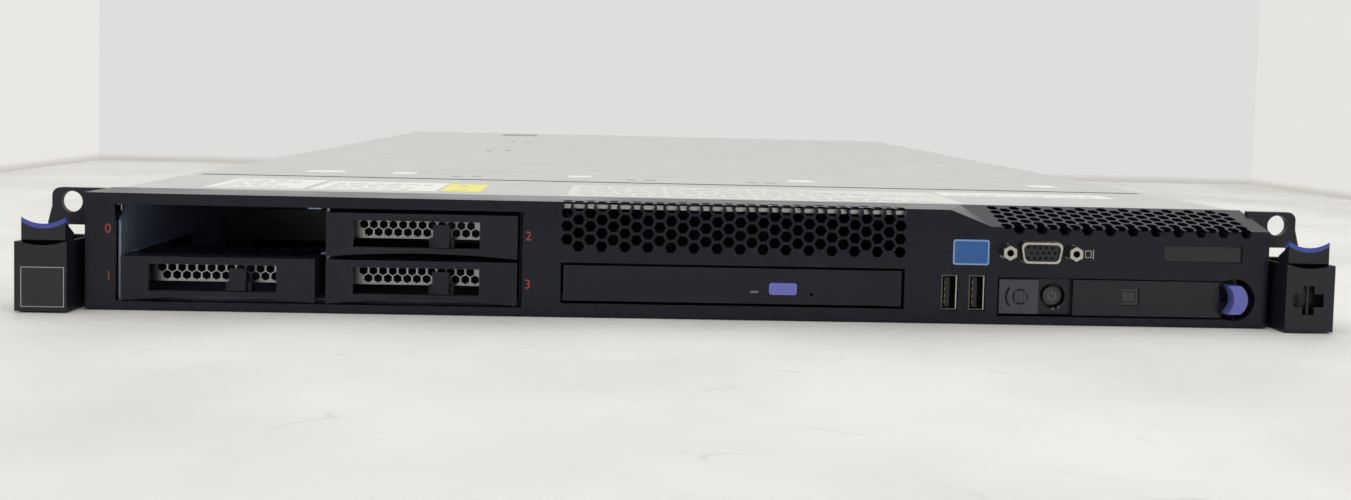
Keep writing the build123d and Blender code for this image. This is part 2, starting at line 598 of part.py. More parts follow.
# Blank drive fillers
FACE_THICK = 2.0
FACE_BACK = FACE_INSET + FACE_THICK
FACE_ARCH = 1.6
WINDOW_LEFT = 9.9 * ACROSS
WINDOW_WIDTH = 46.2 * ACROSS
WINDOW_BOTTOM = 3.6
WINDOW_TOP = 13.5
ARM_THICK = 1.5
ARM_BACK = 70.0
ROOF_THICK = 1.2
ROOF_BACK = 36.0
ROOF_PITCH = 7.0
ROOF_SLOTS = int(FILLER_WIDTH / ROOF_PITCH) - 1
SCREEN_FRONT = 8.0
SCREEN_THICK = 0.6
SCREEN_PITCH = 3.6
SCREEN_RISE = 2.8
SCREEN_HOLE = 1.7
SCREEN_BOTTOM = 6.2
SCREEN_COLUMNS = int(WINDOW_WIDTH / SCREEN_PITCH)
SCREEN_ROWS = 2
TAB_LEFT = 38.9 * ACROSS
TAB_WIDTH = 6.0
TAB_TOP = 12.2
TAB_AXIS_DEPTH = 3.9
TAB_AXIS_Z = 5.4
TAB_BARREL = 1.3
TAB_PIN = 0.8
LUG_THICK = 1.3


def filler_frame(x, z):
    """Plastic frame of a filler whose lower left front corner is at x, z."""
    with BuildPart() as frame:
        with BuildSketch(facing(FACE_INSET)):
            with BuildLine():
                edge = Polyline(
                    (x, z),
                    (x, z + FILLER_HEIGHT),
                    (x + FILLER_WIDTH, z + FILLER_HEIGHT),
                    (x + FILLER_WIDTH, z),
                )
                ThreePointArc(edge @ 1, (x + FILLER_WIDTH / 2, z + FACE_ARCH), edge @ 0)
            make_face()
            span(
                x + WINDOW_LEFT,
                x + WINDOW_LEFT + WINDOW_WIDTH,
                z + WINDOW_BOTTOM,
                z + WINDOW_TOP,
                mode=Mode.SUBTRACT,
            )
        extrude(amount=-FACE_THICK)
        # Side arms
        with BuildSketch(facing(FACE_BACK)):
            for left in (x, x + FILLER_WIDTH - ARM_THICK):
                span(left, left + ARM_THICK, z + 2, z + FILLER_HEIGHT)
        extrude(amount=FACE_BACK - ARM_BACK)
        # Roof with a row of slanted slots
        with BuildSketch(Plane.XY.offset(z + FILLER_HEIGHT)):
            span(x, x + FILLER_WIDTH, y_at(FACE_BACK), y_at(ROOF_BACK))
            with Locations((x + FILLER_WIDTH / 2, y_at((FACE_BACK + ROOF_BACK) / 2))):
                with GridLocations(ROOF_PITCH, 1, ROOF_SLOTS, 1):
                    Rectangle(3.8, 20, rotation=-20, mode=Mode.SUBTRACT)
        extrude(amount=-ROOF_THICK)
        # Lugs that carry the pin of the release tab
        for lug in (x + TAB_LEFT - SLIDE_GAP - LUG_THICK, x + TAB_LEFT + TAB_WIDTH + SLIDE_GAP):
            with BuildSketch(Plane.YZ.offset(lug)):
                span(y_at(FACE_BACK), y_at(TAB_AXIS_DEPTH + 1.6), z + 2.4, z + TAB_AXIS_Z + 1.6)
                with Locations((y_at(TAB_AXIS_DEPTH), z + TAB_AXIS_Z)):
                    Circle(TAB_PIN + PIN_GAP, mode=Mode.SUBTRACT)
            extrude(amount=LUG_THICK)
    return frame


def filler_screen(x, z):
    """Steel honeycomb screen between the arms of a filler."""
    with BuildPart() as screen:
        with BuildSketch(facing(SCREEN_FRONT)):
            span(x + ARM_THICK, x + FILLER_WIDTH - ARM_THICK, z + SCREEN_BOTTOM, z + FILLER_HEIGHT - ROOF_THICK)
            for row in range(SCREEN_ROWS):
                shift = SCREEN_PITCH / 4 * (1 if row % 2 else -1)
                centre = x + WINDOW_LEFT + WINDOW_WIDTH / 2 + shift
                level = z + WINDOW_TOP - 2.2 - row * SCREEN_RISE
                with Locations((centre, level)):
                    with GridLocations(SCREEN_PITCH, 1, SCREEN_COLUMNS, 1):
                        RegularPolygon(SCREEN_HOLE, 6, rotation=30, mode=Mode.SUBTRACT)
        extrude(amount=-SCREEN_THICK)
    return screen


def filler_tab(x, z):
    """Release tab in the window of a filler, swinging back on its pin."""
    with BuildPart() as tab:
        with BuildSketch(Plane.YZ.offset(x + TAB_LEFT)):
            span(y_at(FACE_INSET + 0.3), y_at(FACE_BACK - 0.4), z + WINDOW_BOTTOM + SLIDE_GAP, z + TAB_TOP)
            span(y_at(FACE_INSET + 0.3), y_at(TAB_AXIS_DEPTH), z + TAB_AXIS_Z - 0.8, z + TAB_AXIS_Z + 0.8)
            with Locations((y_at(TAB_AXIS_DEPTH), z + TAB_AXIS_Z)):
                Circle(TAB_BARREL)
        extrude(amount=TAB_WIDTH)
        with BuildSketch(Plane.YZ.offset(x + TAB_LEFT - SLIDE_GAP - LUG_THICK)):
            with Locations((y_at(TAB_AXIS_DEPTH), z + TAB_AXIS_Z)):
                Circle(TAB_PIN)
        extrude(amount=TAB_WIDTH + 2 * SLIDE_GAP + 2 * LUG_THICK)
    return tab


for bay, bay_column, bay_row in ((1, 0, 0), (2, 1, 1), (3, 1, 0)):
    bay_x = FILLER_X + bay_column * BAY_PITCH
    bay_z = FILLER_Z + bay_row * BAY_RISE
    write(filler_frame(bay_x, bay_z), f"filler_{bay}")
    write(filler_screen(bay_x, bay_z), f"filler_screen_{bay}")
    write(filler_tab(bay_x, bay_z), f"filler_tab_{bay}")

# Optical drive: case, tray, front, eject button, spindle hub and laser sled
CASE_WALL = 0.8
CASE_FRONT = 5.2
CASE_HALF = OPTICAL_WIDTH / 2 - 0.6
CASE_BOTTOM = OPTICAL_Z + 0.2
CASE_TOP = OPTICAL_Z + OPTICAL_HEIGHT - 0.2
TRAY_HALF = CASE_HALF - CASE_WALL - SLIDE_GAP
TRAY_BOTTOM = CASE_BOTTOM + CASE_WALL + SLIDE_GAP
TRAY_HEIGHT = 6.6
TRAY_START = 4.6
TRAY_TOP = TRAY_BOTTOM + TRAY_HEIGHT
DISC_RADIUS = TRAY_HALF - 1.3
DISC_DEPTH = TRAY_START + DISC_RADIUS + 1.7
DISC_RECESS = 2.0
TRAY_END = DISC_DEPTH + DISC_RADIUS + 2.0
CASE_BACK = TRAY_END + 4.3
WELL_RADIUS = 14.5
WELL_FLOOR = TRAY_BOTTOM + SHEET
AXLE_RADIUS = 1.5
SLED_HALF = 14.0
SLED_START = 14.0
SLED_LENGTH = 14.0
EJECT_X = OPTICAL_X + 18.6 * ACROSS
EJECT_Z = 12.0
EJECT_WIDTH = 10.5
EJECT_HEIGHT = 4.5
with BuildPart() as optical_case:
    with BuildSketch(facing(CASE_FRONT)):
        span(OPTICAL_X - CASE_HALF, OPTICAL_X + CASE_HALF, CASE_BOTTOM, CASE_TOP)
    extrude(amount=CASE_FRONT - CASE_BACK)
    offset(
        amount=-CASE_WALL,
        openings=optical_case.faces().sort_by(Axis.Y)[0],
        kind=Kind.INTERSECTION,
    )
write(optical_case, "optical_case")

with BuildPart() as optical_tray:
    with BuildSketch(Plane.XY.offset(TRAY_BOTTOM)):
        span(OPTICAL_X - TRAY_HALF, OPTICAL_X + TRAY_HALF, y_at(TRAY_START), y_at(TRAY_END))
    extrude(amount=TRAY_HEIGHT)
    with BuildSketch(Plane.XY.offset(TRAY_TOP)):
        with Locations((OPTICAL_X, y_at(DISC_DEPTH))):
            Circle(DISC_RADIUS)
    extrude(amount=-DISC_RECESS, mode=Mode.SUBTRACT)
    with BuildSketch(Plane.XY.offset(WELL_FLOOR)):
        with Locations((OPTICAL_X, y_at(DISC_DEPTH))):
            Circle(WELL_RADIUS)
        span(
            OPTICAL_X - SLED_HALF - SLIDE_GAP,
            OPTICAL_X + SLED_HALF + SLIDE_GAP,
            y_at(SLED_START),
            y_at(DISC_DEPTH),
        )
    extrude(amount=TRAY_HEIGHT, mode=Mode.SUBTRACT)
    with BuildSketch(Plane.XY.offset(TRAY_BOTTOM)):
        with Locations((OPTICAL_X, y_at(DISC_DEPTH))):
            Circle(AXLE_RADIUS + PIN_GAP)
    extrude(amount=SHEET, mode=Mode.SUBTRACT)
write(optical_tray, "optical_tray")

with BuildPart() as optical_bezel:
    with BuildSketch(facing(FACE_INSET)):
        span(
            OPTICAL_X - OPTICAL_WIDTH / 2,
            OPTICAL_X + OPTICAL_WIDTH / 2,
            OPTICAL_Z,
            OPTICAL_Z + OPTICAL_HEIGHT,
        )
        with Locations((EJECT_X, EJECT_Z)):
            Rectangle(EJECT_WIDTH + 2 * SEAT_GAP, EJECT_HEIGHT + 2 * SEAT_GAP, mode=Mode.SUBTRACT)
        with Locations((OPTICAL_X + 29.4 * ACROSS, OPTICAL_Z + 3.8)):
            Circle(0.6, mode=Mode.SUBTRACT)
    extrude(amount=FACE_INSET - TRAY_START)
    with BuildSketch(facing(FACE_INSET)):
        with Locations((OPTICAL_X + 7.9 * ACROSS, OPTICAL_Z + 4.4)):
            Rectangle(3.4, 0.9)
    extrude(amount=-0.4, mode=Mode.SUBTRACT)
write(optical_bezel, "optical_bezel")

with BuildPart() as eject_button:
    with BuildSketch(facing(FACE_INSET - 0.4)):
        with Locations((EJECT_X, EJECT_Z)):
            RectangleRounded(EJECT_WIDTH, EJECT_HEIGHT, 0.9)
    extrude(amount=-3.4)
write(eject_button, "eject_button")

HUB_BOTTOM = WELL_FLOOR + SLIDE_GAP
with BuildPart() as disc_hub:
    with BuildSketch(Plane.XY.offset(TRAY_BOTTOM + 0.1)):
        with Locations((OPTICAL_X, y_at(DISC_DEPTH))):
            Circle(AXLE_RADIUS)
    extrude(amount=HUB_BOTTOM - TRAY_BOTTOM - 0.1)
    with BuildSketch(Plane.XY.offset(HUB_BOTTOM)):
        with Locations((OPTICAL_X, y_at(DISC_DEPTH))):
            RegularPolygon(WELL_RADIUS - 1, 24)
    extrude(amount=2.8)
    with BuildSketch(Plane.XY.offset(HUB_BOTTOM + 2.8)):
        with Locations((OPTICAL_X, y_at(DISC_DEPTH))):
            RegularPolygon(7.4, 24)
    extrude(amount=2.0, taper=12)
write(disc_hub, "disc_hub")

SLED_BACK = DISC_DEPTH - WELL_RADIUS - 1
with BuildPart() as laser_sled:
    with BuildSketch(Plane.XY.offset(WELL_FLOOR + SEAT_GAP)):
        span(
            OPTICAL_X - SLED_HALF,
            OPTICAL_X + SLED_HALF,
            y_at(SLED_BACK - SLED_LENGTH),
            y_at(SLED_BACK),
        )
    extrude(amount=2.8)
    with BuildSketch(Plane.XY.offset(WELL_FLOOR + SEAT_GAP + 2.8)):
        with Locations((OPTICAL_X, y_at(SLED_BACK - SLED_LENGTH / 2))):
            Circle(2.4)
    extrude(amount=0.5)
write(laser_sled, "laser_sled")

# Front sockets: video shell with its plastic insert and jack posts, two upright USB sockets
VIDEO_REACH = 2.6
VIDEO_FLANGE_FRONT = BEZEL_WALL + 0.1
INSERT_FRONT = 0.8 - VIDEO_REACH
INSERT_WIDTH = VIDEO_WIDTH - 2 * VIDEO_RIM - SEAT_GAP
INSERT_HEIGHT = VIDEO_HEIGHT - 2 * VIDEO_RIM - SEAT_GAP
PIN_PITCH = 2.25
PIN_RISE = 1.95
POST_REACH = 4.0
with BuildPart() as video_shell:
    with BuildSketch(facing(VIDEO_FLANGE_FRONT)):
        with Locations((VIDEO_X, VIDEO_Z)):
            Rectangle(POST_SPACING + 6, 12.4)
            with GridLocations(POST_SPACING, 1, 2, 1):
                RegularPolygon(1.6, 6, mode=Mode.SUBTRACT)
        d_outline(VIDEO_WIDTH - 2 * VIDEO_RIM, VIDEO_HEIGHT - 2 * VIDEO_RIM, mode=Mode.SUBTRACT)
    extrude(amount=-SHEET)
    with BuildSketch(facing(-VIDEO_REACH)):
        d_outline(VIDEO_WIDTH, VIDEO_HEIGHT)
        d_outline(VIDEO_WIDTH - 2 * VIDEO_RIM, VIDEO_HEIGHT - 2 * VIDEO_RIM, mode=Mode.SUBTRACT)
    extrude(amount=-VIDEO_REACH - VIDEO_FLANGE_FRONT)
write(video_shell, "video_shell")

SOCKET_BOARD_Z = PANEL_TOP + SHEET
SOCKET_BOARD_TOP = SOCKET_BOARD_Z + BOARD_THICK
with BuildPart() as video_insert:
    with BuildSketch(facing(INSERT_FRONT)):
        d_outline(INSERT_WIDTH, INSERT_HEIGHT)
    extrude(amount=INSERT_FRONT - VIDEO_FLANGE_FRONT - SHEET)
    with BuildSketch(facing(INSERT_FRONT)):
        for row in (-1, 0, 1):
            shift = -PIN_PITCH / 4 if row else PIN_PITCH / 4
            with Locations((VIDEO_X + shift, VIDEO_Z + row * PIN_RISE)):
                with GridLocations(PIN_PITCH, 1, 5, 1):
                    RegularPolygon(0.5, 6)
    extrude(amount=-SHEET, mode=Mode.SUBTRACT)
    with BuildSketch(facing(VIDEO_FLANGE_FRONT + SHEET)):
        span(VIDEO_X - 9, VIDEO_X + 9, SOCKET_BOARD_TOP, VIDEO_Z + 6)
    extrude(amount=-9)
write(video_insert, "video_insert")

with BuildPart() as video_jack_posts:
    with BuildSketch(facing(-POST_REACH)):
        with Locations((VIDEO_X, VIDEO_Z)):
            with GridLocations(POST_SPACING, 1, 2, 1):
                RegularPolygon(2.8, 6, rotation=30)
                Circle(1.3, mode=Mode.SUBTRACT)
    extrude(amount=-POST_REACH - VIDEO_FLANGE_FRONT)
write(video_jack_posts, "video_jack_posts")

USB_SHELL = 0.4
USB_FRONT = 0.8
TONGUE_FRONT = USB_FRONT + 0.8
USB_BACK = 14.0
USB_MIDDLE = USB_Z + USB_HEIGHT / 2
with BuildPart() as usb_shells:
    with BuildSketch(facing(USB_FRONT)):
        with Locations((USB_X, USB_MIDDLE)):
            with GridLocations(USB_PITCH, 1, 2, 1):
                Rectangle(USB_WIDTH, USB_HEIGHT)
                Rectangle(USB_WIDTH - 2 * USB_SHELL, USB_HEIGHT - 2 * USB_SHELL, mode=Mode.SUBTRACT)
    extrude(amount=USB_FRONT - USB_BACK)
write(usb_shells, "usb_shells")

with BuildPart() as usb_tongues:
    with BuildSketch(facing(TONGUE_FRONT)):
        with Locations((USB_X - 0.6, USB_MIDDLE)):
            with GridLocations(USB_PITCH, 1, 2, 1):
                Rectangle(1.9, USB_HEIGHT - 2 * USB_SHELL - 1.2)
    extrude(amount=TONGUE_FRONT - USB_BACK)
    with BuildSketch(facing(USB_BACK - 3)):
        with Locations((USB_X, USB_MIDDLE)):
            with GridLocations(USB_PITCH, 1, 2, 1):
                Rectangle(USB_WIDTH - 2 * USB_SHELL, USB_HEIGHT - 2 * USB_SHELL)
    extrude(amount=-3)
write(usb_tongues, "usb_tongues")

with BuildPart() as front_socket_board:
    with BuildSketch(Plane.XY.offset(SOCKET_BOARD_Z)):
        span(USB_X - USB_PITCH, VIDEO_X + 24, y_at(4), y_at(70))
    extrude(amount=BOARD_THICK)
write(front_socket_board, "front_socket_board")

# Media bracket: one folded sheet under the optical drive and around the operator panel
BRACKET_FRONT = TRAY_FRONT + 2
BRACKET_SHEET = 0.8
BRACKET_BACK = 106.0
SLEEVE_LEFT = PANEL_LEFT - PANEL_GAP
SLEEVE_RIGHT = PANEL_RIGHT + PANEL_GAP
SLEEVE_BOTTOM = PANEL_BOTTOM - SLIDE_GAP
with BuildPart() as media_bracket:
    with BuildSketch(facing(BRACKET_FRONT)):
        span(OPTICAL_X - CASE_HALF - 2, SLEEVE_RIGHT + BRACKET_SHEET, SHEET, SHEET + BRACKET_SHEET)
        span(OPTICAL_X - CASE_HALF - 2, OPTICAL_X + CASE_HALF + 2, SHEET, CASE_BOTTOM)
        span(
            OPTICAL_X - CASE_HALF - 2 + BRACKET_SHEET,
            OPTICAL_X + CASE_HALF + 2 - BRACKET_SHEET,
            SHEET + BRACKET_SHEET,
            CASE_BOTTOM - BRACKET_SHEET,
            mode=Mode.SUBTRACT,
        )
        span(SLEEVE_LEFT - BRACKET_SHEET, SLEEVE_RIGHT + BRACKET_SHEET, SHEET, SOCKET_BOARD_Z)
        span(
            SLEEVE_LEFT,
            SLEEVE_RIGHT,
            SLEEVE_BOTTOM,
            SOCKET_BOARD_Z - BRACKET_SHEET,
            mode=Mode.SUBTRACT,
        )
    extrude(amount=BRACKET_FRONT - BRACKET_BACK)
write(media_bracket, "media_bracket")

# Operator panel drawer with its power recess, locator button hole and finger scoop
DRAWER_WALL = 1.0
FASCIA_THICK = 1.8
POWER_RIGHT = PANEL_LEFT + 28.5
POWER_RECESS = 2.7
POWER_WALL_BACK = POWER_RECESS + 1.5
POWER_X = PANEL_LEFT + 21.3
POWER_Z = 10.9
POWER_WELL = 4.85
POWER_BOSS = 5.4
POWER_WELL_FLOOR = 6.0
POWER_BOSS_BACK = 8.0
POWER_STEM = 1.2
LOCATOR_X = PANEL_LEFT + 50.3 * ACROSS
LOCATOR_Z = 11.2
LOCATOR_WIDTH = 6.8
LOCATOR_HEIGHT = 6.2
GUIDE_X = PANEL_LEFT + 3.0
GUIDE_HALF = 1.2
COVER_TRAVEL = 11.0
RELEASE_FRONT = 6.5
RELEASE_THICK = 3.0
RELEASE_HALF = 1.8
SCOOP_FLOOR = 4.5
LAMP_COUNT = 7
with BuildPart() as panel_drawer:
    with BuildSketch(facing(FACE_INSET)):
        span(PANEL_LEFT, PANEL_RIGHT, PANEL_BOTTOM, PANEL_TOP)
    extrude(amount=FACE_INSET - PANEL_DEPTH)
    # Hollow from below, with a thicker front around the power button
    with BuildSketch(Plane.XY.offset(PANEL_BOTTOM)):
        span(
            POWER_RIGHT,
            PANEL_RIGHT - DRAWER_WALL,
            y_at(FACE_INSET + FASCIA_THICK),
            y_at(PANEL_DEPTH - DRAWER_WALL),
        )
        span(
            PANEL_LEFT + DRAWER_WALL,
            POWER_RIGHT,
            y_at(POWER_WALL_BACK),
            y_at(PANEL_DEPTH - DRAWER_WALL),
        )
    extrude(amount=PANEL_TOP - PANEL_BOTTOM - DRAWER_WALL, mode=Mode.SUBTRACT)
    # Floor of the finger scoop
    with BuildSketch(facing(FACE_INSET + FASCIA_THICK)):
        span(SCOOP_X - SCOOP_RADIUS - 1, PANEL_RIGHT, PANEL_BOTTOM, PANEL_TOP)
    extrude(amount=FACE_INSET + FASCIA_THICK - RELEASE_FRONT + SLIDE_GAP)
    # Boss behind the power button
    with BuildSketch(facing(POWER_WALL_BACK)):
        with Locations((POWER_X, POWER_Z)):
            Circle(POWER_BOSS)
    extrude(amount=POWER_WALL_BACK - POWER_BOSS_BACK)
    # Recess of the sliding power cover, with the slot that guides it
    with BuildSketch(facing(FACE_INSET)):
        span(PANEL_LEFT, POWER_RIGHT, PANEL_BOTTOM, PANEL_TOP)
    extrude(amount=FACE_INSET - POWER_RECESS, mode=Mode.SUBTRACT)
    with BuildSketch(facing(POWER_RECESS)):
        span(
            GUIDE_X - GUIDE_HALF - SLIDE_GAP,
            GUIDE_X + COVER_TRAVEL + GUIDE_HALF + SLIDE_GAP,
            POWER_Z - GUIDE_HALF - SLIDE_GAP,
            POWER_Z + GUIDE_HALF + SLIDE_GAP,
        )
    extrude(amount=POWER_RECESS - POWER_WALL_BACK, mode=Mode.SUBTRACT)
    # Power button well and its guide hole
    with BuildSketch(facing(POWER_RECESS)):
        with Locations((POWER_X, POWER_Z)):
            Circle(POWER_WELL)
    extrude(amount=POWER_RECESS - POWER_WELL_FLOOR, mode=Mode.SUBTRACT)
    with BuildSketch(facing(POWER_WELL_FLOOR)):
        with Locations((POWER_X, POWER_Z)):
            Circle(POWER_STEM + 2 * PIN_GAP)
    extrude(amount=POWER_WELL_FLOOR - POWER_BOSS_BACK, mode=Mode.SUBTRACT)
    # Locator button hole, finger scoop and the slot of the release latch
    with BuildSketch(facing(FACE_INSET)):
        with Locations((LOCATOR_X, LOCATOR_Z)):
            Rectangle(LOCATOR_WIDTH + 2 * SEAT_GAP, LOCATOR_HEIGHT + 2 * SEAT_GAP)
    extrude(amount=-FASCIA_THICK, mode=Mode.SUBTRACT)
    with BuildSketch(facing(FACE_INSET)):
        with Locations((SCOOP_X, PANEL_MIDDLE + 0.2)):
            Circle(SCOOP_RADIUS)
    extrude(amount=FACE_INSET - SCOOP_FLOOR, mode=Mode.SUBTRACT)
    with BuildSketch(facing(RELEASE_FRONT - SLIDE_GAP)):
        span(
            PANEL_RIGHT - 2,
            PANEL_RIGHT,
            PANEL_MIDDLE - RELEASE_HALF - SEAT_GAP,
            PANEL_MIDDLE + RELEASE_HALF + SEAT_GAP,
        )
    extrude(amount=-RELEASE_THICK - 2 * SLIDE_GAP, mode=Mode.SUBTRACT)
    # Lamp windows in the top of the drawer
    with BuildSketch(Plane.XY.offset(PANEL_TOP)):
        with Locations(((PANEL_LEFT + PANEL_RIGHT) / 2, y_at(40))):
            with GridLocations(10, 20, LAMP_COUNT, 2):
                Rectangle(4, 2)
    extrude(amount=-0.5, mode=Mode.SUBTRACT)
write(panel_drawer, "panel_drawer")

COVER_LEFT = PANEL_LEFT + 0.3
COVER_RIGHT = PANEL_LEFT + 15.2
with BuildPart() as power_cover:
    with BuildSketch(facing(FACE_INSET + 0.1)):
        span(COVER_LEFT, COVER_RIGHT, PANEL_BOTTOM + 0.3, PANEL_TOP - 0.3)
    extrude(amount=FACE_INSET + 0.1 - POWER_RECESS + SLIDE_GAP)
    with BuildSketch(facing(FACE_INSET - 0.2)):
        with Locations((COVER_LEFT + 8.1, POWER_Z - 0.3)):
            with GridLocations(1.8, 1, 3, 1):
                Rectangle(0.8, 4.6)
    extrude(amount=-0.3)
    with BuildSketch(facing(POWER_RECESS - SLIDE_GAP)):
        with Locations((GUIDE_X, POWER_Z)):
            Rectangle(2 * GUIDE_HALF, 2 * GUIDE_HALF)
    extrude(amount=POWER_RECESS - POWER_WALL_BACK - 2 * SLIDE_GAP)
    with BuildSketch(facing(POWER_WALL_BACK + SLIDE_GAP)):
        with Locations((GUIDE_X, POWER_Z)):
            Rectangle(2 * GUIDE_HALF + 0.8, 2 * GUIDE_HALF + 3)
    extrude(amount=-SHEET)
write(power_cover, "power_cover")

with BuildPart() as power_button:
    with BuildSketch(facing(POWER_RECESS + 0.5)):
        with Locations((POWER_X, POWER_Z)):
            Circle(POWER_WELL - 1.4)
    extrude(amount=-1.7)
    with BuildSketch(facing(POWER_RECESS + 2.2)):
        with Locations((POWER_X, POWER_Z)):
            Circle(POWER_STEM)
    extrude(amount=-4.5)
write(power_button, "power_button")

with BuildPart() as locator_button:
    with BuildSketch(facing(FACE_INSET + 0.5)):
        with Locations((LOCATOR_X, LOCATOR_Z)):
            Rectangle(LOCATOR_WIDTH, LOCATOR_HEIGHT)
    extrude(amount=0.5 - FASCIA_THICK - SLIDE_GAP)
    with BuildSketch(facing(FACE_INSET + FASCIA_THICK + SLIDE_GAP)):
        with Locations((LOCATOR_X, LOCATOR_Z)):
            Rectangle(LOCATOR_WIDTH + 1.6, LOCATOR_HEIGHT + 1.6)
    extrude(amount=-SHEET)
write(locator_button, "locator_button")

# Release latch: a crescent finger piece on a slider that runs into the drawer side
CRESCENT_X = SCOOP_X - 1.6
CRESCENT_RADIUS = 6.6
CRESCENT_HALF = 5.4
with BuildPart() as panel_release:
    with BuildSketch(facing(-0.8)):
        with Locations((CRESCENT_X, PANEL_MIDDLE + 0.2)):
            Circle(CRESCENT_RADIUS)
        with Locations((CRESCENT_X - 6.0, PANEL_MIDDLE + 0.2)):
            Circle(CRESCENT_RADIUS + 0.7, mode=Mode.SUBTRACT)
        for end in (-1, 1):
            edge = PANEL_MIDDLE + 0.2 + end * CRESCENT_HALF
            span(CRESCENT_X - 9, CRESCENT_X + 9, edge, edge + end * 5, mode=Mode.SUBTRACT)
    extrude(amount=-0.8 - SCOOP_FLOOR + SLIDE_GAP)
    with BuildSketch(facing(SCOOP_FLOOR - SLIDE_GAP)):
        span(
            CRESCENT_X + 1.6,
            CRESCENT_X + 4,
            PANEL_MIDDLE - RELEASE_HALF,
            PANEL_MIDDLE + RELEASE_HALF,
        )
    extrude(amount=SCOOP_FLOOR - SLIDE_GAP - RELEASE_FRONT)
    with BuildSketch(facing(RELEASE_FRONT)):
        span(
            PANEL_RIGHT - DRAWER_WALL - 6,
            CRESCENT_X + 4,
            PANEL_MIDDLE - RELEASE_HALF,
            PANEL_MIDDLE + RELEASE_HALF,
        )
    extrude(amount=-RELEASE_THICK)
write(panel_release, "panel_release")

# Fan wall, fan housings with motor mounts, and rotors
FAN_MIDDLE = SHEET + SLIDE_GAP + FAN_SIZE / 2
FAN_BACK = FAN_FRONT + FAN_LENGTH
FAN_MOUNT = FAN_BACK - 5
fan_centres = [((i - (FAN_COUNT - 1) / 2) * FAN_PITCH, FAN_MIDDLE) for i in range(FAN_COUNT)]
with BuildPart() as fan_wall:
    with BuildSketch(facing(FAN_FRONT - SHEET)):
        span(SEAT_GAP - WALL_IN, WALL_IN - SEAT_GAP, SHEET, WALL_TOP)
        with Locations(*fan_centres):
            RegularPolygon(FAN_BORE, 24, mode=Mode.SUBTRACT)
    extrude(amount=-SHEET)
write(fan_wall, "fan_wall")

with BuildPart() as fan_housings:
    with BuildSketch(facing(FAN_FRONT)):
        with Locations(*fan_centres):
            Rectangle(FAN_SIZE, FAN_SIZE)
            RegularPolygon(FAN_BORE, 24, mode=Mode.SUBTRACT)
    extrude(amount=-FAN_LENGTH)
    with BuildSketch(facing(FAN_MOUNT)):
        with Locations(*fan_centres):
            Rectangle(2 * FAN_BORE + 1, 2.4)
            RegularPolygon(FAN_HUB, 16)
            Circle(AXLE_RADIUS + PIN_GAP, mode=Mode.SUBTRACT)
    extrude(amount=FAN_MOUNT - FAN_BACK)
write(fan_housings, "fan_housings")

BLADE_COUNT = 5
BLADE_CHORD = 16.0
BLADE_TILT = 35.0
BLADE_TIP = FAN_BORE - 1.3
HUB_LENGTH = 36.0


def fan_rotor(centre):
    """Hub with tilted blades and an axle running in the motor mount."""
    with BuildPart() as rotor:
        with BuildSketch(facing(FAN_MOUNT - 0.5 - HUB_LENGTH)):
            with Locations(centre):
                RegularPolygon(FAN_HUB, 16)
        extrude(amount=-HUB_LENGTH)
        with BuildSketch(facing(FAN_MOUNT - 0.5)):
            with Locations(centre):
                Circle(AXLE_RADIUS)
        extrude(amount=-4.5)
        with Locations(Plane((centre[0], y_at(FAN_FRONT + 18), centre[1]), x_dir=(1, 0, 0), z_dir=(0, -1, 0))):
            with PolarLocations((FAN_HUB - 1 + BLADE_TIP) / 2, BLADE_COUNT):
                Box(BLADE_TIP - FAN_HUB + 1, SHEET, BLADE_CHORD, rotation=(BLADE_TILT, 0, 0))
    return rotor


for number, fan_centre in enumerate(fan_centres, start=1):
    write(fan_rotor(fan_centre), f"fan_rotor_{number}")

# System board, cut away for the power supplies
with BuildPart() as system_board:
    with BuildSketch(Plane.XY.offset(BOARD_Z)):
        span(2 - WALL_IN, WALL_IN - 2, y_at(BOARD_FRONT), y_at(SUPPLY_FRONT - 6))
        span(SUPPLY_BAY_RIGHT + 3, WALL_IN - 2, y_at(BOARD_FRONT), y_at(REAR_INSIDE - 8))
    extrude(amount=BOARD_THICK)
write(system_board, "system_board")

# Processor heat sinks: a finned block and its pedestal on the board
SINK_X = 0.388 * WALL_IN
SINK_WIDTH = 0.402 * WALL_IN
SINK_FRONT = BOARD_FRONT + 14
SINK_DEPTH = 90.0
SINK_TOP = HEIGHT - 4.0
FIN_COUNT = 15
with BuildPart() as heat_sinks:
    with BuildSketch(facing(SINK_FRONT)):
        with GridLocations(2 * SINK_X, 1, 2, 1):
            with Locations((0, BOARD_TOP + 6.0)):
                Rectangle(SINK_WIDTH, 3)
            with Locations((0, (BOARD_TOP + 6 + SINK_TOP) / 2)):
                with GridLocations(SINK_WIDTH / FIN_COUNT, 1, FIN_COUNT, 1):
                    Rectangle(SHEET, SINK_TOP - BOARD_TOP - 6)
    extrude(amount=-SINK_DEPTH)
    with BuildSketch(Plane.XY.offset(BOARD_TOP)):
        with Locations((0, y_at(SINK_FRONT + SINK_DEPTH / 2))):
            with GridLocations(2 * SINK_X, 1, 2, 1):
                Rectangle(45, 45)
    extrude(amount=4.5)
write(heat_sinks, "heat_sinks")

# Memory: a bank of sockets at each side, every second one filled
MEMORY_FIRST = SINK_X + SINK_WIDTH / 2 + 10
MEMORY_COUNT = 9
MEMORY_PITCH = (WALL_IN - 9 - MEMORY_FIRST) / (MEMORY_COUNT - 1)
SOCKET_HEIGHT = 4.5
memory_columns = [MEMORY_FIRST + i * MEMORY_PITCH for i in range(MEMORY_COUNT)]
with BuildPart() as memory_sockets:
    with BuildSketch(Plane.XY.offset(BOARD_TOP)):
        for column in memory_columns:
            with Locations((0, y_at(BOARD_FRONT + 82))):
                with GridLocations(2 * column, 1, 2, 1):
                    Rectangle(6.0, 140)
    extrude(amount=SOCKET_HEIGHT)
write(memory_sockets, "memory_sockets")

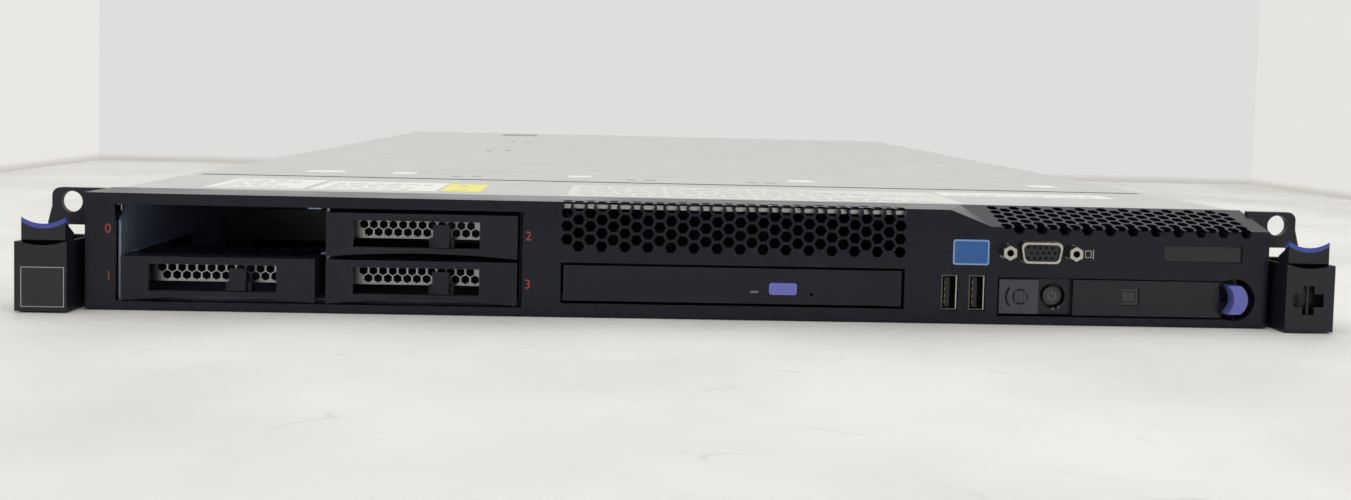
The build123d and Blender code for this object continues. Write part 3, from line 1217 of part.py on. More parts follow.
with BuildPart() as memory_modules:
    with BuildSketch(Plane.XY.offset(BOARD_TOP + SOCKET_HEIGHT)):
        for column in memory_columns[::2]:
            with Locations((0, y_at(BOARD_FRONT + 82))):
                with GridLocations(2 * column, 1, 2, 1):
                    Rectangle(1.4, 133.35)
    extrude(amount=HEIGHT - 17)
write(memory_modules, "memory_modules")

# Riser cards standing in their sockets behind the rear slots
SLOT_BOTTOM = 24.0
SLOT_HEIGHT = 15.5
SLOT_WIDTH = 86.0 * ACROSS
SLOT_PITCH = 118.0 * ACROSS
SLOT_X = SUPPLY_BAY_RIGHT + 60.0 * ACROSS
slot_centres = [(SLOT_X + i * SLOT_PITCH, SLOT_BOTTOM + SLOT_HEIGHT / 2) for i in range(2)]
RISER_DEPTH = 110.0
RISER_BACK = REAR_INSIDE - 24
with BuildPart() as riser_cards:
    with BuildSketch(facing(RISER_BACK)):
        for slot_x, slot_z in slot_centres:
            riser_x = slot_x + SLOT_WIDTH / 2 + 5
            span(riser_x - 0.8, riser_x + 0.8, BOARD_TOP, HEIGHT - 3)
            span(riser_x - 4, riser_x + 4, BOARD_TOP, BOARD_TOP + 5)
            span(riser_x - 8, riser_x, slot_z - 3.5, slot_z + 3.5)
    extrude(amount=RISER_DEPTH)
write(riser_cards, "riser_cards")

# Slot covers: perforated plates screwed behind the rear panel
with BuildPart() as slot_covers:
    with BuildSketch(facing(REAR_INSIDE - 1)):
        with Locations(*slot_centres):
            Rectangle(SLOT_WIDTH + 4, SLOT_HEIGHT + 2)
            with GridLocations(7, 1, 11, 1):
                Rectangle(4, 10, mode=Mode.SUBTRACT)
    extrude(amount=-1)
write(slot_covers, "slot_covers")

# Rear sockets on the board edge: network jacks, upright USB sockets, serial and video sockets
JACK_X = SLOT_X + SLOT_PITCH - 14
JACK_PITCH = 20.0
JACK_WIDTH = 16.0
JACK_HEIGHT = 13.4
JACK_DEPTH = 21.0
JACK_HOLE = 11.8
JACK_HOLE_HEIGHT = 8.0
JACK_HOLE_DEPTH = 13.0
REAR_USB_X = JACK_X - 52.0 * ACROSS
REAR_D_X = SLOT_X - 12.0 * ACROSS
REAR_D_PITCH = 40.0
REAR_D_WIDTH = 17.0
JACK_MIDDLE = BOARD_TOP + JACK_HEIGHT / 2
with BuildPart() as rear_sockets:
    with BuildSketch(facing(BODY_DEPTH - JACK_DEPTH)):
        with Locations((JACK_X, JACK_MIDDLE)):
            with GridLocations(JACK_PITCH, 1, 3, 1):
                Rectangle(JACK_WIDTH, JACK_HEIGHT)
        with Locations((REAR_USB_X, JACK_MIDDLE)):
            with GridLocations(USB_PITCH, 1, 2, 1):
                Rectangle(USB_WIDTH, USB_HEIGHT)
        with Locations((REAR_D_X, JACK_MIDDLE)):
            with GridLocations(REAR_D_PITCH, 1, 2, 1):
                Rectangle(REAR_D_WIDTH, 9)
    extrude(amount=-JACK_DEPTH)
    with BuildSketch(facing(BODY_DEPTH)):
        with Locations((JACK_X, JACK_MIDDLE)):
            with GridLocations(JACK_PITCH, 1, 3, 1):
                Rectangle(JACK_HOLE, JACK_HOLE_HEIGHT)
    extrude(amount=JACK_HOLE_DEPTH, mode=Mode.SUBTRACT)
    with BuildSketch(facing(BODY_DEPTH)):
        with Locations((REAR_USB_X + 1.2, JACK_MIDDLE)):
            with GridLocations(USB_PITCH, 1, 2, 1):
                Rectangle(2.4, USB_HEIGHT - 1)
        with Locations((REAR_D_X, JACK_MIDDLE)):
            with GridLocations(REAR_D_PITCH, 1, 2, 1):
                Rectangle(REAR_D_WIDTH - 1.2, 7.8)
    extrude(amount=3.5, mode=Mode.SUBTRACT)
write(rear_sockets, "rear_sockets")

# Rear panel with the power supply bay, slots, socket holes and vents
with BuildPart() as rear_panel:
    with BuildSketch(facing(REAR_INSIDE)):
        span(-WALL_OUT, WALL_OUT, 0, WALL_TOP)
        span(
            -WALL_IN,
            SUPPLY_BAY_RIGHT,
            SHEET,
            SUPPLY_Z + SUPPLY_HEIGHT + SLIDE_GAP,
            mode=Mode.SUBTRACT,
        )
        with Locations(*slot_centres):
            Rectangle(SLOT_WIDTH, SLOT_HEIGHT, mode=Mode.SUBTRACT)
        with Locations((JACK_X, JACK_MIDDLE)):
            with GridLocations(JACK_PITCH, 1, 3, 1):
                Rectangle(JACK_WIDTH + 2 * SEAT_GAP, JACK_HEIGHT + 2 * SEAT_GAP, mode=Mode.SUBTRACT)
        with Locations((REAR_USB_X, JACK_MIDDLE)):
            with GridLocations(USB_PITCH, 1, 2, 1):
                Rectangle(USB_WIDTH + 2 * SEAT_GAP, USB_HEIGHT + 2 * SEAT_GAP, mode=Mode.SUBTRACT)
        with Locations((REAR_D_X, JACK_MIDDLE)):
            with GridLocations(REAR_D_PITCH, 1, 2, 1):
                Rectangle(REAR_D_WIDTH + 2 * SEAT_GAP, 9 + 2 * SEAT_GAP, mode=Mode.SUBTRACT)
        with Locations((WALL_OUT - 32, HEIGHT / 2)):
            with GridLocations(5, 15, 9, 2):
                Rectangle(3, 12, mode=Mode.SUBTRACT)
    extrude(amount=-SHEET)
write(rear_panel, "rear_panel")

# Hot-swap power supplies with a mains inlet, air slots, a bail handle and a release tab
INLET_X = 21.0
INLET_Z = SUPPLY_Z + 10.5
INLET_WIDTH = 24.4
INLET_HEIGHT = 16.4
INLET_DEPTH = 16.0
BLADE_DEPTH = 14.0
HANDLE_LEFT = 5.0
HANDLE_RIGHT = 37.0
HANDLE_Z = SUPPLY_Z + 20.5
HANDLE_BAR = 3.6
TAB_X = 42.0
TAB_BLOCK = 5.0
TAB_SLIDE = 3.0
TAB_BOTTOM = SUPPLY_Z + 8.0
TAB_HEIGHT = 15.0


def power_supply(x):
    """One power supply whose left side is at x."""
    with BuildPart() as supply:
        with BuildSketch(facing(SUPPLY_FRONT)):
            span(x, x + SUPPLY_WIDTH, SUPPLY_Z, SUPPLY_Z + SUPPLY_HEIGHT)
        extrude(amount=-SUPPLY_LENGTH)
        # Mains inlet with its three blades
        with BuildSketch(facing(BODY_DEPTH)):
            with Locations((x + INLET_X, INLET_Z)):
                Rectangle(INLET_WIDTH, INLET_HEIGHT)
        extrude(amount=INLET_DEPTH, mode=Mode.SUBTRACT)
        with BuildSketch(facing(BODY_DEPTH - INLET_DEPTH)):
            with Locations((x + INLET_X, INLET_Z + 3)):
                Rectangle(2, 4)
            with Locations((x + INLET_X, INLET_Z - 2)):
                with GridLocations(14, 1, 2, 1):
                    Rectangle(2, 4)
        extrude(amount=-BLADE_DEPTH)
        # Air slots above the handle and the slot of the release tab
        with BuildSketch(facing(BODY_DEPTH)):
            with Locations((x + SUPPLY_WIDTH / 2, SUPPLY_Z + SUPPLY_HEIGHT - 6.5)):
                with GridLocations(4.5, 1, 11, 1):
                    Rectangle(2.6, 9)
            span(
                x + TAB_X - TAB_SLIDE - SLIDE_GAP,
                x + TAB_X + TAB_BLOCK + SLIDE_GAP,
                TAB_BOTTOM + 2 - SLIDE_GAP,
                TAB_BOTTOM + TAB_HEIGHT - 2 + SLIDE_GAP,
            )
        extrude(amount=4, mode=Mode.SUBTRACT)
        # Bail handle
        with BuildSketch(Plane.XY.offset(HANDLE_Z)):
            span(x + HANDLE_LEFT, x + HANDLE_RIGHT, y_at(BODY_DEPTH), y_at(BODY_DEPTH + HANDLE_REACH))
            span(
                x + HANDLE_LEFT + HANDLE_BAR,
                x + HANDLE_RIGHT - HANDLE_BAR,
                y_at(BODY_DEPTH),
                y_at(BODY_DEPTH + HANDLE_REACH - HANDLE_BAR),
                mode=Mode.SUBTRACT,
            )
        extrude(amount=HANDLE_BAR)
        outer = supply.edges().filter_by(Axis.Z).group_by(Axis.Y)[-1]
        fillet(outer, HANDLE_BAR)
    return supply


def supply_tab(x):
    """Release tab of a power supply, pushed sideways towards the handle."""
    with BuildPart() as tab:
        with BuildSketch(facing(BODY_DEPTH - 3.5)):
            span(x + TAB_X, x + TAB_X + TAB_BLOCK, TAB_BOTTOM + 2, TAB_BOTTOM + TAB_HEIGHT - 2)
        extrude(amount=-3.5 - SLIDE_GAP)
        with BuildSketch(facing(BODY_DEPTH + SLIDE_GAP)):
            span(x + TAB_X, x + TAB_X + TAB_BLOCK + 2, TAB_BOTTOM, TAB_BOTTOM + TAB_HEIGHT)
        extrude(amount=-11)
    return tab


for number in (1, 2):
    supply_x = SUPPLY_X + (number - 1) * SUPPLY_PITCH
    write(power_supply(supply_x), f"power_supply_{number}")
    write(supply_tab(supply_x), f"supply_tab_{number}")
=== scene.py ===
import math

import bmesh
import bpy
from mathutils import Matrix, Vector


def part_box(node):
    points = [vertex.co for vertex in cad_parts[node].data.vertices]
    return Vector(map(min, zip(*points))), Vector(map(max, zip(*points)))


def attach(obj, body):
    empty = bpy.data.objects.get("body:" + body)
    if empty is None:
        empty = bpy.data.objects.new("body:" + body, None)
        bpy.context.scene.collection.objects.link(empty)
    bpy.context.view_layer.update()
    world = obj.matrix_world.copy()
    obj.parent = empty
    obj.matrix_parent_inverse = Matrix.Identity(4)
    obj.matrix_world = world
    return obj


bl_info = {
    "name": "Rack server finishes",
    "version": (1, 0, 0),
    "blender": (4, 5, 0),
    "location": "3D View > Sidebar > Server",
    "description": "Finishes, printed marks, contacts and stage for a one-unit rack server",
    "category": "Object",
}

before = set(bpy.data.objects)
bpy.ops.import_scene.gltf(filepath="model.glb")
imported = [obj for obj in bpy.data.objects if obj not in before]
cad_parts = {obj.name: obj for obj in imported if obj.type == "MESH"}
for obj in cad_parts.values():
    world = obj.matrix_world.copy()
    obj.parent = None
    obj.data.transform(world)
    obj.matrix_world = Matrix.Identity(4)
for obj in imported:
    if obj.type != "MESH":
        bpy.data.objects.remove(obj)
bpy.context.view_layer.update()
MM = 0.001
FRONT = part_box("front_bezel")[0].y
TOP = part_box("top_cover")[1].z

# Places on the CAD parts in millimetres: across from the middle, behind the bezel face, or up
REAR = 711.0
PLATE_DEPTH = 0.5
DRIVE_ACROSS = 16.9
USB_ACROSS = (98.2, 108.6)
VIDEO_ACROSS = 132.1
VIDEO_UP = 27.6
RISER_ACROSS = (4.0, 122.0)
JACK_ACROSS = (40.0, 60.0, 80.0)
REAR_USB_ACROSS = (4.0, 14.4)
REAR_SHELL_ACROSS = (-76.0, -36.0)
REAR_SOCKET_UP = 14.3
SUPPLY_LEFT = {1: -213.7, 2: -158.5}
FAN_PITCH = 71.33
LABEL_CORNER = 0.8

# The photograph's frame, and the fitted camera's focal length and the row its axis meets, in pixels
PHOTO_WIDTH = 1351
PHOTO_HEIGHT = 500
FOCAL_LENGTH = 1235.5
AXIS_ROW = 152.4


def linear(hex_colour):
    """Linear RGBA of an sRGB hex value."""
    value = hex_colour.lstrip("#")
    parts = [int(value[i : i + 2], 16) / 255 for i in (0, 2, 4)]
    return tuple(c / 12.92 if c <= 0.04045 else ((c + 0.055) / 1.055) ** 2.4 for c in parts) + (1.0,)


def colour_property(label, words, hex_colour):
    """Colour setting with its default written as an sRGB hex value."""
    return bpy.props.FloatVectorProperty(
        name=label, description=words, subtype="COLOR", size=4, min=0, max=1, default=linear(hex_colour)
    )


def length_property(label, words, size_mm):
    """Length setting with its default written in millimetres."""
    return bpy.props.FloatProperty(name=label, description=words, unit="LENGTH", default=size_mm * MM, min=0)


class ServerColours(bpy.types.PropertyGroup):
    """Colours of the server's finishes."""

    bezel: colour_property("Bezel", "Black moulding of the bezel", "#0C0F1F")
    ear: colour_property("Rack ears", "Black moulding of the rack ears and latches", "#191A24")
    filler: colour_property("Fillers", "Black moulding of the fillers and the optical drive front", "#1C1D27")
    pad: colour_property("Latch pads", "Blue moulding of the rack latch pads", "#3F51AE")
    eject: colour_property("Eject button", "Violet blue moulding of the eject button", "#7277CB")
    release: colour_property("Panel release", "Violet blue moulding of the panel release", "#6C71C8")
    steel: colour_property("Sheet steel", "Zinc-plated sheet of the covers and tray", "#E3E3E1")
    nickel: colour_property("Nickel", "Nickel plating of the socket shells", "#C9C5BB")
    insert: colour_property("Socket plastic", "Dark moulding inside the sockets", "#2A2B30")
    board: colour_property("Circuit board", "Solder mask of the boards", "#1D5A36")
    tab: colour_property("Supply tabs", "Terracotta moulding of the supply release tabs", "#B4562B")
    digit: colour_property("Bay numbers", "Orange ink of the bay numbers", "#A3462F")
    cover: colour_property("Power cover", "Dark grey moulding of the sliding power cover", "#4C4B55")
    panel: colour_property("Operator panel", "Charcoal moulding of the operator panel", "#21212A")
    paper: colour_property("Labels", "Paper of the labels", "#F2F2EE")
    floor: colour_property("Floor", "Pale table under the server", "#EFEEEB")


class ServerSizes(bpy.types.PropertyGroup):
    """Sizes of the printed and applied pieces."""

    digit: length_property("Bay number height", "Height of the printed bay numbers", 3.4)
    ink: length_property("Ink thickness", "How far printed marks stand on their surface", 0.05)
    paper: length_property("Label thickness", "Thickness of the paper labels", 0.1)
    outline: length_property("Outline width", "Line width of printed outlines", 0.35)
    contact: length_property("Contact width", "Width of one plated socket contact", 1.0)


def add_node(tree, kind, settings=None, values=None, links=None):
    """Add one node with its settings, input values and incoming links."""
    node = tree.nodes.new(kind)
    for key, value in (settings or {}).items():
        setattr(node, key, value)
    for key, value in (values or {}).items():
        node.inputs[key].default_value = value
    for key, source in (links or {}).items():
        tree.links.new(source, node.inputs[key])
    return node


def shader(name, colour, metallic, roughness):
    """New material with its surface shader and Object coordinates."""
    material = bpy.data.materials.new(name)
    material.use_nodes = True
    material.diffuse_color = colour
    tree = material.node_tree
    surface = tree.nodes["Principled BSDF"]
    surface.inputs["Base Color"].default_value = colour
    surface.inputs["Metallic"].default_value = metallic
    surface.inputs["Roughness"].default_value = roughness
    return material, tree, surface, add_node(tree, "ShaderNodeTexCoord").outputs["Object"]


def shade(colour, factor):
    """The colour made darker or paler by a factor."""
    return tuple(min(c * factor, 1.0) for c in colour[:3]) + (1.0,)


def moulded_plastic(name, colour, roughness=0.48, sheen=0.5):
    """Moulded ABS from a spark-eroded tool: a fine even grain that softens every highlight."""
    material, tree, surface, place = shader(name, colour, 0.0, roughness)
    surface.inputs["IOR"].default_value = 1.54
    surface.inputs["Specular IOR Level"].default_value = sheen
    # Grain is drawn at about twice its real size of 0.25 mm so that it still shows
    pits = add_node(
        tree, "ShaderNodeTexNoise", values={"Scale": 1 / (0.5 * MM), "Detail": 2.0}, links={"Vector": place}
    )
    # Handling leaves broad, slightly paler and smoother areas some 40 mm across
    handled = add_node(
        tree, "ShaderNodeTexNoise", values={"Scale": 1 / (40 * MM), "Detail": 5.0}, links={"Vector": place}
    )
    tone = add_node(
        tree,
        "ShaderNodeMix",
        settings={"data_type": "RGBA"},
        values={6: shade(colour, 0.86), 7: shade(colour, 1.16)},
        links={0: handled.outputs["Fac"]},
    )
    gloss = add_node(
        tree,
        "ShaderNodeMapRange",
        values={"From Min": 0.3, "From Max": 0.7, "To Min": roughness + 0.06, "To Max": roughness - 0.06},
        links={"Value": handled.outputs["Fac"]},
    )
    bump = add_node(
        tree,
        "ShaderNodeBump",
        values={"Strength": 0.12, "Distance": 0.06 * MM},
        links={"Height": pits.outputs["Fac"]},
    )
    tree.links.new(tone.outputs[2], surface.inputs["Base Color"])
    tree.links.new(gloss.outputs["Result"], surface.inputs["Roughness"])
    tree.links.new(bump.outputs["Normal"], surface.inputs["Normal"])
    return material


def plated_sheet(name, colour, roughness=0.36, scuffs=0.22, metal=1.0):
    """Zinc-plated sheet: rolling lines along the depth, a soft cloudy bloom and thin scuffs."""
    material, tree, surface, place = shader(name, colour, metal, roughness)
    # Rolling lines 0.6 mm apart and 90 mm long
    along = add_node(
        tree,
        "ShaderNodeMapping",
        values={"Scale": (1 / (0.6 * MM), 1 / (90 * MM), 1 / (0.6 * MM))},
        links={"Vector": place},
    )
    lines = add_node(
        tree, "ShaderNodeTexNoise", values={"Scale": 1.0, "Detail": 3.0}, links={"Vector": along.outputs[0]}
    )
    # Bloom of the plating, clouds about 25 mm across
    bloom = add_node(
        tree, "ShaderNodeTexNoise", values={"Scale": 1 / (25 * MM), "Detail": 6.0}, links={"Vector": place}
    )
    # Scuffs: nearly crosswise streaks, up to 80 mm long and 7 mm apart
    slanted = add_node(
        tree,
        "ShaderNodeMapping",
        values={"Rotation": (0, 0, math.radians(7)), "Scale": (1 / (80 * MM), 1 / (7 * MM), 1 / (30 * MM))},
        links={"Vector": place},
    )
    streaks = add_node(
        tree, "ShaderNodeTexNoise", values={"Scale": 1.0, "Detail": 4.0}, links={"Vector": slanted.outputs[0]}
    )
    scuff = add_node(
        tree,
        "ShaderNodeMapRange",
        values={"From Min": 0.56, "From Max": 0.72, "To Min": 0.0, "To Max": scuffs},
        links={"Value": streaks.outputs["Fac"]},
    )
    tone = add_node(
        tree,
        "ShaderNodeMix",
        settings={"data_type": "RGBA"},
        values={6: shade(colour, 0.9), 7: shade(colour, 1.06)},
        links={0: bloom.outputs["Fac"]},
    )
    worn = add_node(
        tree,
        "ShaderNodeMix",
        settings={"data_type": "RGBA"},
        values={7: shade(colour, 0.62)},
        links={0: scuff.outputs["Result"], 6: tone.outputs[2]},
    )
    gloss = add_node(
        tree,
        "ShaderNodeMapRange",
        values={"To Min": roughness - 0.1, "To Max": roughness + 0.12},
        links={"Value": bloom.outputs["Fac"]},
    )
    bump = add_node(
        tree,
        "ShaderNodeBump",
        values={"Strength": 0.12, "Distance": 0.03 * MM},
        links={"Height": lines.outputs["Fac"]},
    )
    tree.links.new(worn.outputs[2], surface.inputs["Base Color"])
    tree.links.new(gloss.outputs["Result"], surface.inputs["Roughness"])
    tree.links.new(bump.outputs["Normal"], surface.inputs["Normal"])
    return material


def plating(name, colour, roughness=0.24):
    """Bright plated metal with a slight tarnish in patches of a few millimetres."""
    material, tree, surface, place = shader(name, colour, 1.0, roughness)
    tarnish = add_node(
        tree, "ShaderNodeTexNoise", values={"Scale": 1 / (3 * MM), "Detail": 4.0}, links={"Vector": place}
    )
    tone = add_node(
        tree,
        "ShaderNodeMix",
        settings={"data_type": "RGBA"},
        values={6: shade(colour, 0.78), 7: shade(colour, 1.1)},
        links={0: tarnish.outputs["Fac"]},
    )
    gloss = add_node(
        tree,
        "ShaderNodeMapRange",
        values={"To Min": roughness - 0.06, "To Max": roughness + 0.1},
        links={"Value": tarnish.outputs["Fac"]},
    )
    tree.links.new(tone.outputs[2], surface.inputs["Base Color"])
    tree.links.new(gloss.outputs["Result"], surface.inputs["Roughness"])
    return material


def solder_mask(name, colour, plated="#B9A869"):
    """Board with a glossy mask: bundles of fine paler tracks and small plated holes."""
    material, tree, surface, place = shader(name, colour, 0.0, 0.34)
    # Tracks 0.8 mm apart run in bundles some 18 mm wide
    # At a scale of 1 the wave texture repeats about every 0.31 units
    tracks = add_node(
        tree,
        "ShaderNodeTexWave",
        settings={"bands_direction": "DIAGONAL"},
        values={"Scale": 0.31 / (0.8 * MM), "Distortion": 0.0},
        links={"Vector": place},
    )
    bundles = add_node(
        tree, "ShaderNodeTexNoise", values={"Scale": 1 / (18 * MM), "Detail": 1.0}, links={"Vector": place}
    )
    where = add_node(
        tree,
        "ShaderNodeMapRange",
        values={"From Min": 0.5, "From Max": 0.56},
        links={"Value": bundles.outputs["Fac"]},
    )
    shown = add_node(
        tree,
        "ShaderNodeMath",
        settings={"operation": "MULTIPLY"},
        links={0: tracks.outputs["Fac"], 1: where.outputs["Result"]},
    )
    tone = add_node(
        tree,
        "ShaderNodeMix",
        settings={"data_type": "RGBA"},
        values={6: colour, 7: shade(colour, 1.9)},
        links={0: shown.outputs[0]},
    )
    # Plated holes about 3 mm apart
    holes = add_node(tree, "ShaderNodeTexVoronoi", values={"Scale": 1 / (3.2 * MM)}, links={"Vector": place})
    pad = add_node(
        tree,
        "ShaderNodeMapRange",
        values={"From Min": 0.16, "From Max": 0.12},
        links={"Value": holes.outputs["Distance"]},
    )
    dotted = add_node(
        tree,
        "ShaderNodeMix",
        settings={"data_type": "RGBA"},
        values={7: linear(plated)},
        links={0: pad.outputs["Result"], 6: tone.outputs[2]},
    )
    tree.links.new(dotted.outputs[2], surface.inputs["Base Color"])
    return material


def printed(name, colour, roughness=0.55):
    """Printed ink or paper: flat, with a faint uneven tone a few millimetres across."""
    material, tree, surface, place = shader(name, colour, 0.0, roughness)
    fibre = add_node(
        tree, "ShaderNodeTexNoise", values={"Scale": 1 / (2.5 * MM), "Detail": 5.0}, links={"Vector": place}
    )
    tone = add_node(
        tree,
        "ShaderNodeMix",
        settings={"data_type": "RGBA"},
        values={6: shade(colour, 0.92), 7: shade(colour, 1.05)},
        links={0: fibre.outputs["Fac"]},
    )
    tree.links.new(tone.outputs[2], surface.inputs["Base Color"])
    return material


def matt_table(name, colour):
    """Matt table sheet with faint smudges a hand's width across and fine dragged scratches."""
    material, tree, surface, place = shader(name, colour, 0.0, 0.6)
    smudge = add_node(
        tree, "ShaderNodeTexNoise", values={"Scale": 1 / (120 * MM), "Detail": 8.0}, links={"Vector": place}
    )
    spread = add_node(
        tree,
        "ShaderNodeMapRange",
        values={"From Min": 0.3, "From Max": 0.6},
        links={"Value": smudge.outputs["Fac"]},
    )
    tone = add_node(
        tree,
        "ShaderNodeMix",
        settings={"data_type": "RGBA"},
        values={6: shade(colour, 0.87), 7: shade(colour, 1.02)},
        links={0: spread.outputs["Result"]},
    )
    # Scratches: curved lines 0.6 mm wide where a slow noise passes through its middle value
    drag = add_node(
        tree,
        "ShaderNodeTexNoise",
        values={"Scale": 1 / (90 * MM), "Detail": 1.5, "Distortion": 1.2},
        links={"Vector": place},
    )
    middle = add_node(
        tree,
        "ShaderNodeMath",
        settings={"operation": "SUBTRACT"},
        values={1: 0.5},
        links={0: drag.outputs["Fac"]},
    )
    width = add_node(tree, "ShaderNodeMath", settings={"operation": "ABSOLUTE"}, links={0: middle.outputs[0]})
    line = add_node(
        tree,
        "ShaderNodeMapRange",
        values={"From Min": 0.0, "From Max": 0.006, "To Min": 0.2, "To Max": 0.0},
        links={"Value": width.outputs[0]},
    )
    broken = add_node(
        tree, "ShaderNodeTexNoise", values={"Scale": 1 / (35 * MM), "Detail": 2.0}, links={"Vector": place}
    )
    shown = add_node(
        tree,
        "ShaderNodeMapRange",
        values={"From Min": 0.54, "From Max": 0.64},
        links={"Value": broken.outputs["Fac"]},
    )
    scratch = add_node(
        tree,
        "ShaderNodeMath",
        settings={"operation": "MULTIPLY"},
        links={0: line.outputs["Result"], 1: shown.outputs["Result"]},
    )
    marked = add_node(
        tree,
        "ShaderNodeMix",
        settings={"data_type": "RGBA"},
        values={7: shade(colour, 0.3)},
        links={0: scratch.outputs[0], 6: tone.outputs[2]},
    )
    tree.links.new(marked.outputs[2], surface.inputs["Base Color"])
    return material


def tent_wall(name, colour):
    """Cloth wall of the light tent, seen from inside only: a plain pale ground to the eye and in metal."""
    material, tree, surface, place = shader(name, colour, 0.0, 0.9)
    ray = add_node(tree, "ShaderNodeLightPath").outputs
    direct = add_node(
        tree,
        "ShaderNodeMath",
        settings={"operation": "MAXIMUM"},
        links={0: ray["Is Camera Ray"], 1: ray["Is Glossy Ray"]},
    )
    plain = add_node(
        tree,
        "ShaderNodeMath",
        settings={"operation": "MAXIMUM"},
        links={0: direct.outputs[0], 1: ray["Is Transmission Ray"]},
    )
    # Darker band along the foot, some 6 mm high
    height = add_node(tree, "ShaderNodeSeparateXYZ", links={0: place})
    hem = add_node(
        tree,
        "ShaderNodeMapRange",
        values={"From Min": 2 * MM, "From Max": 8 * MM, "To Min": 0.6, "To Max": 0.0},
        links={"Value": height.outputs["Z"]},
    )
    tone = add_node(
        tree,
        "ShaderNodeMix",
        settings={"data_type": "RGBA"},
        values={6: colour, 7: linear("#B7AFA6")},
        links={0: hem.outputs["Result"]},
    )
    ground = add_node(tree, "ShaderNodeEmission", values={"Strength": 1.0}, links={"Color": tone.outputs[2]})
    cloth = add_node(
        tree,
        "ShaderNodeMixShader",
        links={0: plain.outputs[0], 1: surface.outputs["BSDF"], 2: ground.outputs["Emission"]},
    )
    facing = add_node(tree, "ShaderNodeNewGeometry")
    clear = add_node(tree, "ShaderNodeBsdfTransparent")
    either = add_node(
        tree,
        "ShaderNodeMixShader",
        links={0: facing.outputs["Backfacing"], 1: cloth.outputs["Shader"], 2: clear.outputs["BSDF"]},
    )
    tree.links.new(either.outputs["Shader"], tree.nodes["Material Output"].inputs["Surface"])
    return material


def finish_of(name, maker, *values, **more):
    """The material of that name, made the first time it is asked for."""
    return bpy.data.materials.get(name) or maker(name, *values, **more)


def gold_plate():
    """Thin gold on contacts: warm and bright."""
    return finish_of("gold_plate", plating, linear("#D8B25C"), roughness=0.22)


def screw_zinc():
    """Zinc on screws and small turned parts: pale and slightly dull."""
    return finish_of("screw_zinc", plating, linear("#BDBDBA"), roughness=0.3)


def extruded_aluminium():
    """Bare extruded aluminium: pale, with the die's lines along the depth."""
    return finish_of("extruded_aluminium", plated_sheet, linear("#D3D5D7"), roughness=0.34, scuffs=0.1)


def epoxy_chip():
    """Moulded epoxy of chip cases: matt and nearly black."""
    return finish_of("epoxy_chip", moulded_plastic, linear("#1C1C1D"), roughness=0.5)


def white_ink():
    """Pad-printed white ink: flat and a little grey on the black moulding."""
    return finish_of("white_ink", printed, linear("#B9B9B6"))


def label_paper(colours):
    """Coated label paper: matt and nearly white."""
    return finish_of("label_paper", printed, colours.paper)


def spread(count, pitch):
    """Offsets of evenly spaced things about the middle of their row."""
    return [(i - (count - 1) / 2) * pitch for i in range(count)]


def at(x, depth, z):
    """Point from millimetres: across, behind the bezel face and up."""
    return Vector((x * MM, FRONT + depth * MM, z * MM))


def around(x, z, half_width, half_height, near, far):
    """Corners of a box about a point of the front or rear, between two depths."""
    return at(x - half_width, near, z - half_height), at(x + half_width, far, z + half_height)


def tint(name, material, *boxes):
    """Give the faces of a CAD node whose centres lie in one of the boxes another finish."""
    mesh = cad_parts[name].data
    mesh.materials.append(material)
    for face in mesh.polygons:
        spot = face.center
        if any(all(low[i] <= spot[i] <= high[i] for i in range(3)) for low, high in boxes):
            face.material_index = len(mesh.materials) - 1


def slab(bm, low, high, rounding=0.0, along=1):
    """Box between two corners, with its four edges along one axis rounded."""
    made = bmesh.ops.create_cube(bm, size=1.0)["verts"]
    bmesh.ops.scale(bm, verts=made, vec=high - low)
    bmesh.ops.translate(bm, verts=made, vec=(low + high) / 2)
    if rounding:
        edges = {e for v in made for e in v.link_edges}
        turned = [e for e in edges if abs((e.verts[0].co - e.verts[1].co)[along]) > 1e-9]
        bmesh.ops.bevel(
            bm, geom=turned, offset=rounding, affect="EDGES", segments=4, profile=0.5, material=-1
        )


def outline(bm, low, high, width):
    """Closed frame around an upright rectangle that faces the front."""
    made = bmesh.ops.create_grid(bm, x_segments=1, y_segments=1, size=0.5)["verts"]
    size = high - low
    bmesh.ops.scale(bm, verts=made, vec=(size.x, size.z, 1))
    bmesh.ops.rotate(bm, verts=made, matrix=Matrix.Rotation(math.pi / 2, 3, "X"))
    bmesh.ops.translate(bm, verts=made, vec=Vector(((low.x + high.x) / 2, low.y, (low.z + high.z) / 2)))
    face = made[0].link_faces[0]
    rim = bmesh.ops.inset_region(bm, faces=[face], use_boundary=True, thickness=width)["faces"]
    bmesh.ops.delete(bm, geom=[face], context="FACES_ONLY")
    pushed = bmesh.ops.extrude_face_region(bm, geom=rim, use_keep_orig=True)["geom"]
    moved = [g for g in pushed if isinstance(g, bmesh.types.BMVert)]
    bmesh.ops.translate(bm, verts=moved, vec=(0, high.y - low.y, 0))


def disc(bm, centre, radius, thick, axis="Y", sides=16):
    """Round plate lying across one axis, with a slightly broken edge."""
    made = bmesh.ops.create_cone(
        bm, cap_ends=True, segments=sides, radius1=radius, radius2=radius * 0.94, depth=thick
    )["verts"]
    if axis == "Y":
        bmesh.ops.rotate(bm, verts=made, matrix=Matrix.Rotation(math.pi / 2, 3, "X"))
    bmesh.ops.translate(bm, verts=made, vec=centre)


